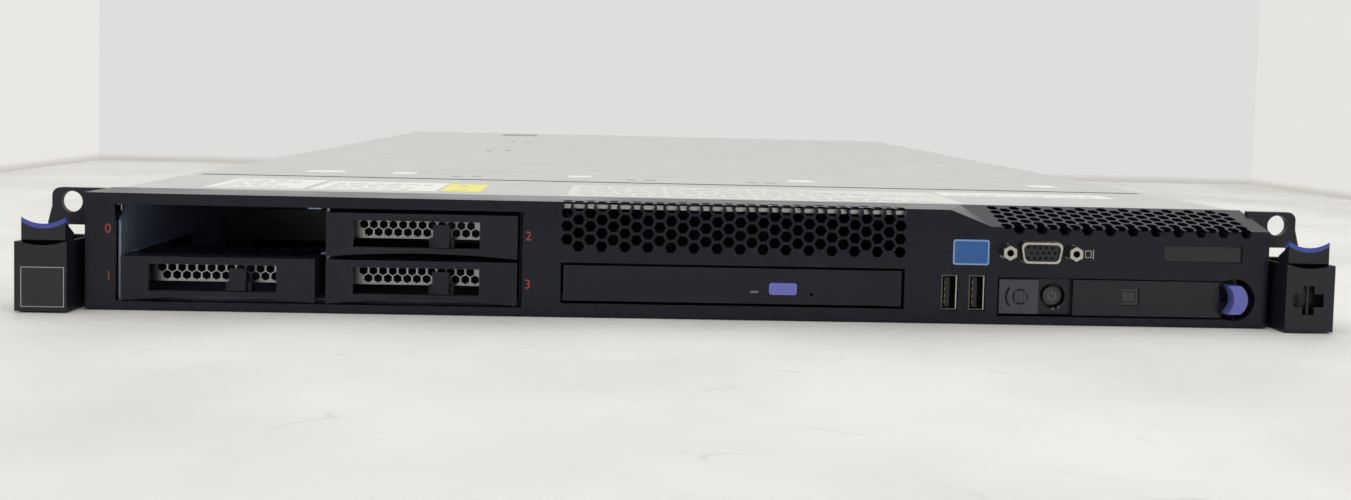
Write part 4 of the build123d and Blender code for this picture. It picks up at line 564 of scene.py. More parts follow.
def ring(bm, centre, radius, tube, start=0.0, sweep=360.0, steps=36):
    """Round bar bent about a point of the front: a full ring, or an arc from a start angle."""
    made = bmesh.ops.create_circle(bm, cap_ends=sweep < 360, segments=8, radius=tube)
    geom = made["verts"] + list({e for v in made["verts"] for e in v.link_edges})
    geom += list({f for v in made["verts"] for f in v.link_faces})
    turn = Matrix.Rotation(math.radians(-start), 3, "Y")
    bmesh.ops.rotate(bm, verts=made["verts"], matrix=turn)
    bmesh.ops.translate(bm, verts=made["verts"], vec=centre + turn @ Vector((radius, 0, 0)))
    bmesh.ops.spin(
        bm,
        geom=geom,
        cent=centre,
        axis=(0, -1, 0),
        angle=math.radians(sweep),
        steps=steps,
        use_merge=sweep >= 360,
    )


def screw_head(bm, centre, radius, axis):
    """Pan head with a round socket, facing along an axis vector."""
    made = bmesh.ops.create_cone(
        bm, cap_ends=True, segments=20, radius1=radius, radius2=radius * 0.8, depth=radius * 0.7
    )["verts"]
    top = max((f for v in made for f in v.link_faces), key=lambda f: f.calc_center_median().z)
    inner = bmesh.ops.inset_region(bm, faces=[top], thickness=radius * 0.32)["faces"]
    sunk = bmesh.ops.extrude_face_region(bm, geom=[top])["geom"]
    down = [g for g in sunk if isinstance(g, bmesh.types.BMVert)]
    bmesh.ops.delete(bm, geom=[top], context="FACES_ONLY")
    bmesh.ops.translate(bm, verts=down, vec=(0, 0, -radius * 0.4))
    every = list(set(made) | set(down) | {v for f in inner for v in f.verts})
    turn = Vector((0, 0, 1)).rotation_difference(Vector(axis)).to_matrix()
    bmesh.ops.rotate(bm, verts=every, matrix=turn)
    bmesh.ops.translate(bm, verts=every, vec=centre)


def place_piece(name, bm, material, body, smooth=False):
    """Turn a finished bmesh into a piece that rides on a body."""
    bmesh.ops.remove_doubles(bm, verts=bm.verts, dist=1e-7)
    bmesh.ops.recalc_face_normals(bm, faces=bm.faces)
    mesh = bpy.data.meshes.new(name)
    bm.to_mesh(mesh)
    bm.free()
    mesh.materials.append(material)
    if smooth:
        mesh.shade_smooth()
        mesh.set_sharp_from_angle(angle=math.radians(40))
    piece = bpy.data.objects.new(name, mesh)
    bpy.context.scene.collection.objects.link(piece)
    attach(piece, body)


def flat_label(name, material, body, sides, top, thick):
    """Paper label on a level surface; its sides are left, right, near and far in millimetres."""
    left, right, near, far = sides
    bm = bmesh.new()
    low, high = at(left, near, top), at(right, far, top) + Vector((0, 0, thick))
    slab(bm, low, high, LABEL_CORNER * MM, along=2)
    place_piece(name, bm, material, body)


class SERVER_OT_finishes(bpy.types.Operator):
    """Give every CAD node the finish of the real piece, with some of them darkened as painted shade"""

    bl_idname = "server.finishes"
    bl_label = "Node finishes"

    def execute(self, context):
        c = context.scene.server_colours
        bezel = finish_of("abs_black_bezel", moulded_plastic, c.bezel, roughness=0.24, sheen=0.27)
        cover = finish_of("abs_grey_power_cover", moulded_plastic, c.cover, roughness=0.42, sheen=0.3)
        panel = finish_of("abs_charcoal_panel", moulded_plastic, c.panel, roughness=0.36, sheen=0.3)
        ear = finish_of("abs_black_ear", moulded_plastic, c.ear, roughness=0.34, sheen=0.36)
        filler = finish_of("abs_black_filler", moulded_plastic, c.filler, roughness=0.42, sheen=0.26)
        pad = finish_of("abs_blue_pad", moulded_plastic, c.pad, roughness=0.4)
        eject = finish_of("abs_violet_eject", moulded_plastic, c.eject, roughness=0.4)
        release = finish_of("abs_violet_release", moulded_plastic, c.release, roughness=0.4)
        sheet = finish_of("zinc_plated_sheet", plated_sheet, c.steel)
        inner = finish_of("zinc_plated_tray", plated_sheet, shade(c.steel, 0.86), roughness=0.42)
        # Screens behind the fillers' windows: the steel darkened as painted shade of their recess
        shaded_pierced = shade(c.steel, 0.48)
        screen = finish_of("bright_pierced_sheet", plated_sheet, shaded_pierced, roughness=0.34, scuffs=0.2)
        nickel = finish_of("nickel_plate", plating, c.nickel)
        insert = finish_of("abs_socket_insert", moulded_plastic, c.insert, roughness=0.45, sheen=0.3)
        board = finish_of("solder_mask_green", solder_mask, c.board)
        # Drive backplane: black mask tinted bluish, with dimmed holes, as painted shade of the bays' depth
        backplane = finish_of("solder_mask_black", solder_mask, linear("#151824"), plated="#2A2B33")
        # Drive cage and media bracket: bluish and darker than the sheet, as painted reflection and painted
        # shade inside the bays
        bay_shade_blue = linear("#98A2BB")
        cage = finish_of("zinc_plated_cage", plated_sheet, bay_shade_blue, roughness=0.34, scuffs=0.2, metal=0.5)
        # Optical drive case: the steel darkened to a third, as painted shade inside the bezel
        shaded_case_sheet = finish_of("zinc_plated_shaded", plated_sheet, shade(c.steel, 0.3), roughness=0.45, scuffs=0.2)
        dark = finish_of("pbt_black_fan", moulded_plastic, linear("#1A1A1C"), roughness=0.5)
        fins = extruded_aluminium()
        tab = finish_of("abs_terracotta_tab", moulded_plastic, c.tab, roughness=0.42)
        button = finish_of("abs_grey_button", moulded_plastic, linear("#333338"), roughness=0.4)
        grey = finish_of("abs_grey_latch", moulded_plastic, linear("#8E8F90"), roughness=0.45)
        chosen = {
            bezel: ["front_bezel"],
            panel: ["panel_drawer"],
            cover: ["power_cover"],
            ear: ["left_rack_ear", "right_rack_ear", "left_latch", "right_latch"],
            filler: ["optical_bezel", "optical_tray", "disc_hub", "laser_sled"],
            pad: ["left_latch_pad", "right_latch_pad"],
            eject: ["eject_button"],
            release: ["panel_release"],
            sheet: ["top_cover", "front_top_panel", "rear_panel", "slot_covers"],
            shaded_case_sheet: ["optical_case"],
            inner: ["chassis_tray"],
            cage: ["drive_cage", "media_bracket"],
            nickel: ["video_shell", "video_jack_posts", "usb_shells", "rear_sockets"],
            insert: ["video_insert", "usb_tongues", "memory_sockets"],
            board: ["system_board", "front_socket_board", "riser_cards", "memory_modules"],
            backplane: ["drive_backplane"],
            dark: ["fan_housings", "fan_wall"],
            fins: ["heat_sinks", "power_supply_1", "power_supply_2"],
            tab: ["supply_tab_1", "supply_tab_2"],
            button: ["power_button", "locator_button"],
            grey: ["cover_latch"],
        }
        for i in (1, 2, 3):
            chosen[filler] += [f"filler_{i}", f"filler_tab_{i}"]
            chosen.setdefault(screen, []).append(f"filler_screen_{i}")
        for i in range(1, 7):
            chosen[dark].append(f"fan_rotor_{i}")
        for material, names in chosen.items():
            for name in names:
                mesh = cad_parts[name].data
                mesh.materials.clear()
                mesh.materials.append(material)
        left = [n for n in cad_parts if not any(n in names for names in chosen.values())]
        if left:
            raise RuntimeError(f"nodes without a finish: {left}")
        self.front_tints(c)
        self.rear_tints()
        return {"FINISHED"}

    def front_tints(self, c):
        """Edges, rims and bores of the front painted darker as shade, and the slider of the panel release in
        the bezel's black.
        """
        bezel = bpy.data.materials["abs_black_bezel"]
        shadow = finish_of("socket_shadow", moulded_plastic, linear("#08080A"), roughness=0.6, sheen=0.2)
        # Painted shade on the lip under the vents, the front edges in the bays and the hook slots of the
        # cover
        shaded_lip = finish_of("zinc_plated_lip", plated_sheet, shade(c.steel, 0.62), roughness=0.3, scuffs=0.1)
        tint("front_top_panel", shaded_lip, (at(-100, 3, 39), at(100, 34, 41.95)))
        tint("drive_cage", shadow, (at(-200, 0, 0), at(-55, 4, 37.5)), (at(-75, 0, 0), at(-55, 14, 37.5)))
        tint("top_cover", shadow, (at(-120, 106, 42.02), at(60, 135, 42.98)))
        # Painted shade on the rims of the upright sockets, their right edges left bright, painted shade in
        # the pin holes, and brass darkened as painted shade in the bores of the jack posts
        shaded_rim = finish_of("nickel_tarnished", plating, shade(c.nickel, 0.3), roughness=0.4)
        tint("usb_shells", shaded_rim, *[(at(x - 3.2, 0, 0), at(x + 2.3, 0.9, 25)) for x in USB_ACROSS])
        deep = (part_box("video_insert")[0].y - FRONT) / MM + 0.1
        tint("video_insert", shadow, around(VIDEO_ACROSS, VIDEO_UP, 9, 5, deep, deep + 1.4))
        deep = (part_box("video_jack_posts")[0].y - FRONT) / MM + 0.1
        posts = [VIDEO_ACROSS + dx for dx in (-12.5, 12.5)]
        bores = [around(x, VIDEO_UP, 1.35, 1.35, deep, deep + 20) for x in posts]
        tint("video_jack_posts", finish_of("brass_bore", plating, linear("#4A382A"), roughness=0.4), *bores)
        # Slider of the panel release
        tint("panel_release", bezel, (at(190, 4.4, 0), at(215, 12, 20)))

    def rear_tints(self):
        """Card slots, the depths of the rear sockets and the dark parts of the power supplies."""
        insert = bpy.data.materials["abs_socket_insert"]
        nickel = bpy.data.materials["nickel_plate"]
        for x in RISER_ACROSS:
            left_slot = (at(x - 9, 0, 0), at(x - 0.9, 800, 43))
            right_slot = (at(x + 0.9, 0, 0), at(x + 5, 800, 43))
            tint("riser_cards", insert, left_slot, right_slot)
        skin = REAR - 0.1
        jacks = [around(x, REAR_SOCKET_UP, 6.0, 4.1, REAR - 14, skin) for x in JACK_ACROSS]
        plugs = [around(x, REAR_SOCKET_UP, 1.3, 6.2, REAR - 4, skin) for x in REAR_USB_ACROSS]
        shells = [around(x, REAR_SOCKET_UP, 8.0, 4.0, REAR - 4, skin) for x in REAR_SHELL_ACROSS]
        tint("rear_sockets", insert, *jacks, *plugs, *shells)
        # Power supplies: dark inlet, air slots and handle, plated blades
        skin = REAR - 0.05
        for i, x in SUPPLY_LEFT.items():
            name = f"power_supply_{i}"
            middle = x + 21
            inlet = around(middle, 12.0, 12.3, 8.3, REAR - 17, skin)
            slots = around(x + 27.1, 33.0, 26.0, 4.6, REAR - 5, skin)
            handle = (at(x, REAR + 0.05, 0), at(x + 54.2, REAR + 29, 43))
            tint(name, insert, inlet, slots, handle)
            pins = ((middle, 15.0), (middle - 7, 10.0), (middle + 7, 10.0))
            blades = [around(across, up, 1.3, 2.3, REAR - 15.8, REAR + 1) for across, up in pins]
            tint(name, nickel, *blades)


class SERVER_OT_bay_numbers(bpy.types.Operator):
    """Print the numbers 0 to 3 beside the drive bays"""

    bl_idname = "server.bay_numbers"
    bl_label = "Bay numbers"

    def execute(self, context):
        sizes = context.scene.server_sizes
        ink = finish_of("orange_ink", printed, context.scene.server_colours.digit)
        spots = (("0", -211.7, 29.8), ("1", -211.4, 12.5), ("2", -59.4, 29.9), ("3", -59.4, 12.0))
        # A digit takes this share of the type's size
        digit_share = 0.7
        for text, x, z in spots:
            curve = bpy.data.curves.new(f"digit_{text}", "FONT")
            curve.body = text
            curve.align_x = "CENTER"
            curve.align_y = "CENTER"
            curve.size = sizes.digit / digit_share
            curve.extrude = sizes.ink / 2
            holder = bpy.data.objects.new(f"digit_{text}", curve)
            mesh = bpy.data.meshes.new_from_object(holder)
            bpy.data.objects.remove(holder)
            spot = at(x, 0, z) - Vector((0, sizes.ink / 2, 0))
            mesh.transform(Matrix.Translation(spot) @ Matrix.Rotation(math.pi / 2, 4, "X"))
            bm = bmesh.new()
            bm.from_mesh(mesh)
            bpy.data.meshes.remove(mesh)
            place_piece(f"bay_number_{text}", bm, ink, "chassis")
        return {"FINISHED"}


class SERVER_OT_front_labels(bpy.types.Operator):
    """Put the blank ear plate, the blank name plate and the plain badge on the front"""

    bl_idname = "server.front_labels"
    bl_label = "Front labels"

    def execute(self, context):
        sizes = context.scene.server_sizes
        film = finish_of("black_film", printed, linear("#1B1B1D"), roughness=0.35)
        paper = Vector((0, sizes.paper, 0))
        ink = Vector((0, sizes.ink, 0))
        # The ear plate's face stands in front of the bezel
        ear_depth = -8.0
        low = at(-239.3, ear_depth, 1.9) - paper
        high = at(-223.5, ear_depth, 16.9)
        bm = bmesh.new()
        slab(bm, low, high, rounding=0.6 * MM)
        place_piece("ear_plate_film", bm, film, "chassis")
        bm = bmesh.new()
        inset = Vector((0.3 * MM, 0, 0.3 * MM))
        outline(bm, low + inset - ink, Vector((high.x, low.y, high.z)) - inset, sizes.outline)
        place_piece("ear_plate_outline", bm, white_ink(), "chassis")
        plate = finish_of("brushed_black_film", printed, linear("#1B1B20"), roughness=0.3)
        bm = bmesh.new()
        slab(bm, at(179.9, PLATE_DEPTH, 25.3) - paper, at(209.1, PLATE_DEPTH, 30.8))
        place_piece("name_plate_film", bm, plate, "chassis")
        blue = finish_of("blue_film", printed, linear("#2A62A8"), roughness=0.3)
        pale = finish_of("pale_blue_film", printed, linear("#8FB0D6"), roughness=0.3)
        bm = bmesh.new()
        slab(bm, at(99.1, 0, 22.4) - paper, at(112.8, 0, 31.9), rounding=0.9 * MM)
        place_piece("badge_rim", bm, pale, "chassis")
        bm = bmesh.new()
        slab(bm, at(99.7, 0, 23.0) - paper - ink, at(112.2, 0, 31.3) - paper, rounding=0.6 * MM)
        place_piece("badge_field", bm, blue, "chassis")
        return {"FINISHED"}


class SERVER_OT_top_labels(bpy.types.Operator):
    """Stick labels with rows of plain dashes on the top, and paint shadow along the seam and in the cover's
    holes
    """

    bl_idname = "server.top_labels"
    bl_label = "Top labels"

    def execute(self, context):
        c = context.scene.server_colours
        sizes = context.scene.server_sizes
        paper = label_paper(c)
        pale = finish_of("label_paper_grey", printed, shade(c.paper, 0.86))
        yellow = finish_of("label_paper_yellow", printed, linear("#F5EE84"))
        top = TOP / MM
        # Each row: name, finish, left, right, near and far
        fixed = (
            ("top_label_left", paper, -189, -151, 33, 80),
            ("top_label_middle", paper, -148, -99, 33, 76),
            ("top_label_yellow", yellow, -97.5, -81.5, 35, 73),
            ("top_label_wide", pale, -46.5, 110, 26, 81),
            ("top_label_right", paper, 112, 187, 65, 84),
        )
        grey = finish_of("label_ink_grey", printed, linear("#C2C2BE"))
        rows = bmesh.new()
        for name, material, left, right, near, far in fixed:
            flat_label(name, material, "chassis", (left, right, near, far), top, sizes.paper)
            self.dashes(rows, left + 4, right - 4, near + 6, far - 6, top + sizes.paper / MM, sizes.ink / MM)
        place_piece("top_label_rows", rows, grey, "chassis")
        moving = ((-174, -157), (-134, -123), (-51, -40), (55, 67), (172, 185))
        for i, (left, right) in enumerate(moving, start=1):
            flat_label(f"cover_label_{i}", paper, "top_cover", (left, right, 130, 143), top, sizes.paper)
        # Near-black moulding used as painted shadow
        seam_and_hole_shade = finish_of("foam_gasket", moulded_plastic, linear("#2B2B2D"), roughness=0.8, sheen=0.2)
        # Dark strip painted as the shadow of the step at the seam between the cover and the front panel
        bm = bmesh.new()
        slab(bm, at(-212, 101.2, top), at(212, 104.4, top + 0.05))
        place_piece("seam_shadow_strip", bm, seam_and_hole_shade, "chassis")
        # Dark discs painted as the shade inside the cover's holes
        bm = bmesh.new()
        for x, depth in ((-114.6, 372.6), (-102.7, 378.3), (-112.0, 528.0), (-100.0, 525.0)):
            disc(bm, at(x, depth, top), 1.9 * MM, 0.1 * MM, axis="Z")
        place_piece("cover_hole_shadows", bm, seam_and_hole_shade, "top_cover")
        return {"FINISHED"}

    def dashes(self, bm, left, right, near, far, top, thick):
        """Rows of plain dashes, as print reads from a distance."""
        lengths = (6.0, 3.5, 8.0, 4.5, 5.0)
        row_pitch = 8
        height = 2.2
        gap = 1.8
        # Two rows in three end early, by one or two of these shares of the width
        short = 0.15
        for row in range(int((far - near) / row_pitch) + 1):
            depth = near + row * row_pitch
            end = right - row % 3 * short * (right - left)
            x = left
            i = row * 2
            while x + lengths[i % len(lengths)] < end:
                length = lengths[i % len(lengths)]
                slab(bm, at(x, depth, top), at(x + length, depth + height, top + thick))
                x += length + gap
                i += 1


class SERVER_OT_socket_contacts(bpy.types.Operator):
    """Add the contacts of the upright front sockets and the printed screen symbol"""

    bl_idname = "server.socket_contacts"
    bl_label = "Socket contacts"

    def execute(self, context):
        sizes = context.scene.server_sizes
        ink = Vector((0, sizes.ink, 0))
        low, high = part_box("usb_tongues")
        middle = (low.z + high.z) / 2 / MM
        half = sizes.contact / MM / 2
        thick = 0.12
        bm = bmesh.new()
        for x in USB_ACROSS:
            # The contacts lie on the tongue's left face
            face = x - 0.6 - 0.95
            for offset in spread(4, 2.5):
                z = middle + offset
                slab(bm, at(face - thick, 1.0, z - half), at(face, 9.5, z + half))
        place_piece("usb_contacts", bm, gold_plate(), "chassis")
        bm = bmesh.new()
        outline(bm, at(149.3, 0, 25.9) - ink, at(151.7, 0, 28.6), sizes.outline)
        slab(bm, at(152.3, 0, 25.4) - ink, at(152.6, 0, 29.0))
        place_piece("screen_symbol", bm, white_ink(), "chassis")
        return {"FINISHED"}


class SERVER_OT_panel_marks(bpy.types.Operator):
    """Add the grip's grooves and the locator's frame as painted shade, the symbols and the lamps of the
    operator panel, and the lamp of the disc drive
    """

    bl_idname = "server.panel_marks"
    bl_label = "Panel marks"

    def execute(self, context):
        sizes = context.scene.server_sizes
        groove_shade = finish_of("abs_black_grip", moulded_plastic, linear("#0A0A0C"), roughness=0.4, sheen=0.25)
        lamp = finish_of("clear_lamp", printed, linear("#84848A"), roughness=0.25)
        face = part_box("power_cover")[0].y
        # Dark rings painted as the shade in the grip's grooves
        bm = bmesh.new()
        centre = Vector((125.4 * MM, face + 0.28 * MM, 10.6 * MM))
        ring(bm, centre, 2.7 * MM, 0.3 * MM)
        ring(bm, centre, 5.4 * MM, 0.4 * MM, start=140.0, sweep=80.0, steps=14)
        place_piece("power_cover_groove_shade", bm, groove_shade, "power_cover", smooth=True)
        bm = bmesh.new()
        low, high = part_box("power_button")
        middle = Vector(((low.x + high.x) / 2, low.y, (low.z + high.z) / 2))
        ring(bm, middle, 1.5 * MM, 0.12 * MM, start=120.0, sweep=300.0, steps=30)
        slab(bm, middle + Vector((-0.12, -0.1, 0.6)) * MM, middle + Vector((0.12, 0.02, 2.0)) * MM)
        place_piece("power_symbol", bm, lamp, "power_button", smooth=True)
        bm = bmesh.new()
        for x, z in ((138.7, 6.0), (140.9, 6.7)):
            disc(bm, at(x, 2.66, z), 0.4 * MM, 0.1 * MM)
        place_piece("power_lamps", bm, lamp, "panel_drawer")
        # Dark frame painted as the shade in the locator button's groove
        bm = bmesh.new()
        low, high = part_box("locator_button")
        outline(
            bm,
            Vector((low.x + 1.0 * MM, low.y - sizes.ink, low.z + 1.8 * MM)),
            Vector((high.x - 1.8 * MM, low.y, high.z - 1.8 * MM)),
            0.45 * MM,
        )
        place_piece("locator_groove_shade", bm, groove_shade, "locator_button")
        bm = bmesh.new()
        x = DRIVE_ACROSS + 7.9
        slab(bm, at(x - 1.6, 0.7, 10.35), at(x + 1.6, 1.0, 11.05), rounding=0.3 * MM)
        place_piece("drive_lamp", bm, lamp, "optical_tray")
        return {"FINISHED"}


class SERVER_OT_screws(bpy.types.Operator):
    """Add the screw heads of the front top panel and the rear panel"""

    bl_idname = "server.screws"
    bl_label = "Screws"

    def execute(self, context):
        steel = screw_zinc()
        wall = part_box("front_top_panel")[1].x
        bm = bmesh.new()
        for side in (-1, 1):
            for depth in (45.0, 90.0):
                spot = at(0, depth, 38.5)
                spot.x = side * (wall + 0.4 * MM)
                screw_head(bm, spot, 2.0 * MM, (side, 0, 0))
        place_piece("panel_screws", bm, steel, "chassis", smooth=True)
        bm = bmesh.new()
        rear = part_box("rear_panel")[1].y
        for x in (-40.0, 66.0, 184.0, 208.0):
            spot = Vector((x * MM, rear + 0.5 * MM, 21.5 * MM))
            screw_head(bm, spot, 2.2 * MM, (0, 1, 0))
        place_piece("rear_screws", bm, steel, "chassis", smooth=True)
        return {"FINISHED"}


class SERVER_OT_board_parts(bpy.types.Operator):
    """Populate the system board with chips, coils, connectors, capacitors, a coin cell, a sink and screws"""

    bl_idname = "server.board_parts"
    bl_label = "Board parts"

    def execute(self, context):
        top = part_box("system_board")[1].z / MM
        epoxy = epoxy_chip()
        ferrite = finish_of("ferrite_coil", moulded_plastic, linear("#47474A"), roughness=0.6)
        nylon = finish_of("nylon_ivory", moulded_plastic, linear("#CFC9B6"), roughness=0.45)
        can = finish_of("aluminium_can", plating, linear("#C4C5C6"), roughness=0.3)
        # Each row: across, depth, width, length and height
        chips = (
            (-30, 415, 27, 27, 1.3),
            (35, 455, 18, 18, 1.2),
            (85, 400, 14, 20, 1.2),
            (150, 470, 22, 22, 1.3),
            (170, 520, 10, 12, 1.1),
            (-70, 500, 12, 16, 1.1),
            (110, 540, 9, 9, 1.0),
            (-10, 520, 8, 14, 1.0),
            (-150, 350, 14, 14, 1.2),
            (-60, 610, 20, 20, 1.3),
            (170, 600, 16, 16, 1.2),
            (-85, 560, 9, 12, 1.0),
        )
        coils = [(x, depth, 10, 10, 7) for x in (-26, -13, 13, 26) for depth in range(236, 301, 16)]
        # One socket behind each fan, then the drive and panel connectors
        sockets = [(x, 216.5, 12, 5, 8) for x in spread(6, 71.3)]
        sockets += [(-130, 378, 30, 7, 9), (-90, 372, 24, 7, 9), (195, 400, 7, 40, 8), (195, 460, 7, 50, 8)]
        groups = (
            ("board_chips", epoxy, chips),
            ("board_coils", ferrite, coils),
            ("board_connectors", nylon, sockets),
        )
        for name, material, parts in groups:
            bm = bmesh.new()
            for x, depth, width, long, tall in parts:
                low = at(x - width / 2, depth - long / 2, top)
                slab(bm, low, low + Vector((width, long, tall)) * MM, rounding=0.5 * MM, along=2)
            place_piece(name, bm, material, "chassis")
        bm = bmesh.new()
        for i, x in enumerate(spread(17, 13.5)):
            disc(bm, at(x, 326 + 8 * (i % 2), top + 4.5), 3.9 * MM, 9 * MM, axis="Z")
        place_piece("board_capacitors", bm, can, "chassis", smooth=True)
        bm = bmesh.new()
        disc(bm, at(150, 425, top + 2.6), 10 * MM, 3.2 * MM, axis="Z", sides=32)
        disc(bm, at(150, 425, top + 0.5), 11 * MM, 1.0 * MM, axis="Z", sides=32)
        place_piece("coin_cell", bm, can, "chassis", smooth=True)
        bm = bmesh.new()
        slab(bm, at(42, 590, top + 1.5), at(88, 636, top + 4.0))
        for i in range(12):
            x = 42.6 + i * 4.0
            slab(bm, at(x, 590, top + 4.0), at(x + 1.0, 636, top + 14.0))
        slab(bm, at(50, 598, top), at(80, 628, top + 1.5))
        place_piece("chipset_sink", bm, extruded_aluminium(), "chassis")
        bm = bmesh.new()
        for row in (220, 372, 531, 686):
            for x in (-60, 40, 204) + ((-204,) if row < 400 else ()):
                screw_head(bm, at(x, row, top + 0.7), 2.6 * MM, (0, 0, 1))
        place_piece("board_screws", bm, screw_zinc(), "chassis", smooth=True)
        return {"FINISHED"}


class SERVER_OT_memory_chips(bpy.types.Operator):
    """Put the memory chips and the edge contacts on both faces of every module"""

    bl_idname = "server.memory_chips"
    bl_label = "Memory chips"

    def execute(self, context):
        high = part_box("memory_modules")[1]
        columns = 5
        half_board = 0.7
        chip_thick = 1.0
        gold_thick = 0.05
        half_chip = 5.5
        middle = 294
        outer = high.x / MM - half_board
        inner = 136.05
        step = (outer - inner) / (columns - 1)
        chips = bmesh.new()
        contacts = bmesh.new()
        for side in (-1, 1):
            for column in range(columns):
                x = side * (outer - column * step)
                for face in (-1, 1):
                    board = x + face * half_board
                    left, right = sorted((board, x + face * (half_board + chip_thick)))
                    for offset in spread(8, 15.6):
                        depth = middle + offset
                        slab(chips, at(left, depth - half_chip, 20.5), at(right, depth + half_chip, 31.5))
                    left, right = sorted((board, x + face * (half_board + gold_thick)))
                    slab(contacts, at(left, 232, 12.2), at(right, 356, 14.6))
        place_piece("memory_chips", chips, epoxy_chip(), "chassis")
        place_piece("memory_contacts", contacts, gold_plate(), "chassis")
        return {"FINISHED"}


class SERVER_OT_inner_labels(bpy.types.Operator):
    """Stick blank labels with an orange stripe on the fan modules and the supplies"""

    bl_idname = "server.inner_labels"
    bl_label = "Inner labels"

    def execute(self, context):
        sizes = context.scene.server_sizes
        paper = label_paper(context.scene.server_colours)
        stripe = finish_of("label_stripe_orange", printed, linear("#B0603A"))
        fan_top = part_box("fan_housings")[1].z / MM
        supply_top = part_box("power_supply_1")[0].z / MM + 38.0
        paper_top = Vector((0, 0, sizes.paper))
        ink_top = Vector((0, 0, sizes.paper + sizes.ink))
        labels = []
        for i, x in enumerate(spread(6, FAN_PITCH), start=1):
            labels.append((f"fan_label_{i}", "chassis", (x - 15, x + 15, 165, 186), fan_top))
        for i, x in SUPPLY_LEFT.items():
            labels.append((f"supply_label_{i}", f"power_supply_{i}", (x + 8, x + 46, 560, 650), supply_top))
        for name, body, sides, top in labels:
            flat_label(name, paper, body, sides, top, sizes.paper)
            left, right, near = sides[:3]
            bm = bmesh.new()
            slab(bm, at(left + 1, near + 1, top) + paper_top, at(right - 1, near + 4, top) + ink_top)
            place_piece(f"{name}_stripe", bm, stripe, body)
        return {"FINISHED"}


class SERVER_OT_rear_details(bpy.types.Operator):
    """Add the contacts of the jacks, the pins of the rear sockets and the lamps"""

    bl_idname = "server.rear_details"
    bl_label = "Rear details"

    def execute(self, context):
        green = finish_of("lamp_green", printed, linear("#5E8F55"), roughness=0.25)
        amber = finish_of("lamp_amber", printed, linear("#B58A3A"), roughness=0.25)
        bm = bmesh.new()
        for x in JACK_ACROSS:
            for offset in spread(8, 1.02):
                pin = x + offset
                slab(bm, at(pin - 0.25, REAR - 12.5, 11.2), at(pin + 0.25, REAR - 4.5, 11.5))
        for x in REAR_SHELL_ACROSS:
            for row, count in ((-1.4, 5), (1.4, 4)):
                for offset in spread(count, 2.77):
                    pin = at(x + offset, REAR - 2.0, REAR_SOCKET_UP + row)
                    disc(bm, pin, 0.5 * MM, 3.0 * MM, sides=10)
        place_piece("rear_contacts", bm, gold_plate(), "chassis")
        for name, material, offset in (("rear_lamps_green", green, -6.0), ("rear_lamps_amber", amber, 4.0)):
            bm = bmesh.new()
            for x in JACK_ACROSS:
                slab(bm, at(x + offset, REAR - 0.3, 19.2), at(x + offset + 2.0, REAR + 0.05, 20.6))
            place_piece(name, bm, material, "chassis")
        for i, x in SUPPLY_LEFT.items():
            body = f"power_supply_{i}"
            for name, material, dx in (("green", green, 45.5), ("amber", amber, 49.5)):
                bm = bmesh.new()
                disc(bm, at(x + dx, REAR + 0.1, 5.4), 1.2 * MM, 0.4 * MM, sides=20)
                place_piece(f"supply_lamp_{name}_{i}", bm, material, body, smooth=True)
        return {"FINISHED"}


class SERVER_OT_disc_drive(bpy.types.Operator):
    """Add the plated ring of the spindle hub and the lens of the laser sled"""

    bl_idname = "server.disc_drive"
    bl_label = "Disc drive"

    def execute(self, context):
        glass = finish_of("coated_lens", moulded_plastic, linear("#2B3350"), roughness=0.1)
        low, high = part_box("disc_hub")
        bm = bmesh.new()
        centre = Vector(((low.x + high.x) / 2, (low.y + high.y) / 2, high.z))
        disc(bm, centre, 5.6 * MM, 0.3 * MM, axis="Z", sides=32)
        for i in range(3):
            turn = Matrix.Rotation(math.radians(120 * i), 3, "Z")
            disc(bm, centre + turn @ Vector((4.2 * MM, 0, 0.25 * MM)), 0.9 * MM, 0.5 * MM, axis="Z", sides=14)
        place_piece("hub_ring", bm, screw_zinc(), "disc_hub", smooth=True)
        low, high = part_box("laser_sled")
        bm = bmesh.new()
        centre = Vector(((low.x + high.x) / 2, (low.y + high.y) / 2, high.z + 0.15 * MM))
        disc(bm, centre, 1.8 * MM, 0.4 * MM, axis="Z", sides=24)
        place_piece("laser_lens", bm, glass, "laser_sled", smooth=True)
        return {"FINISHED"}


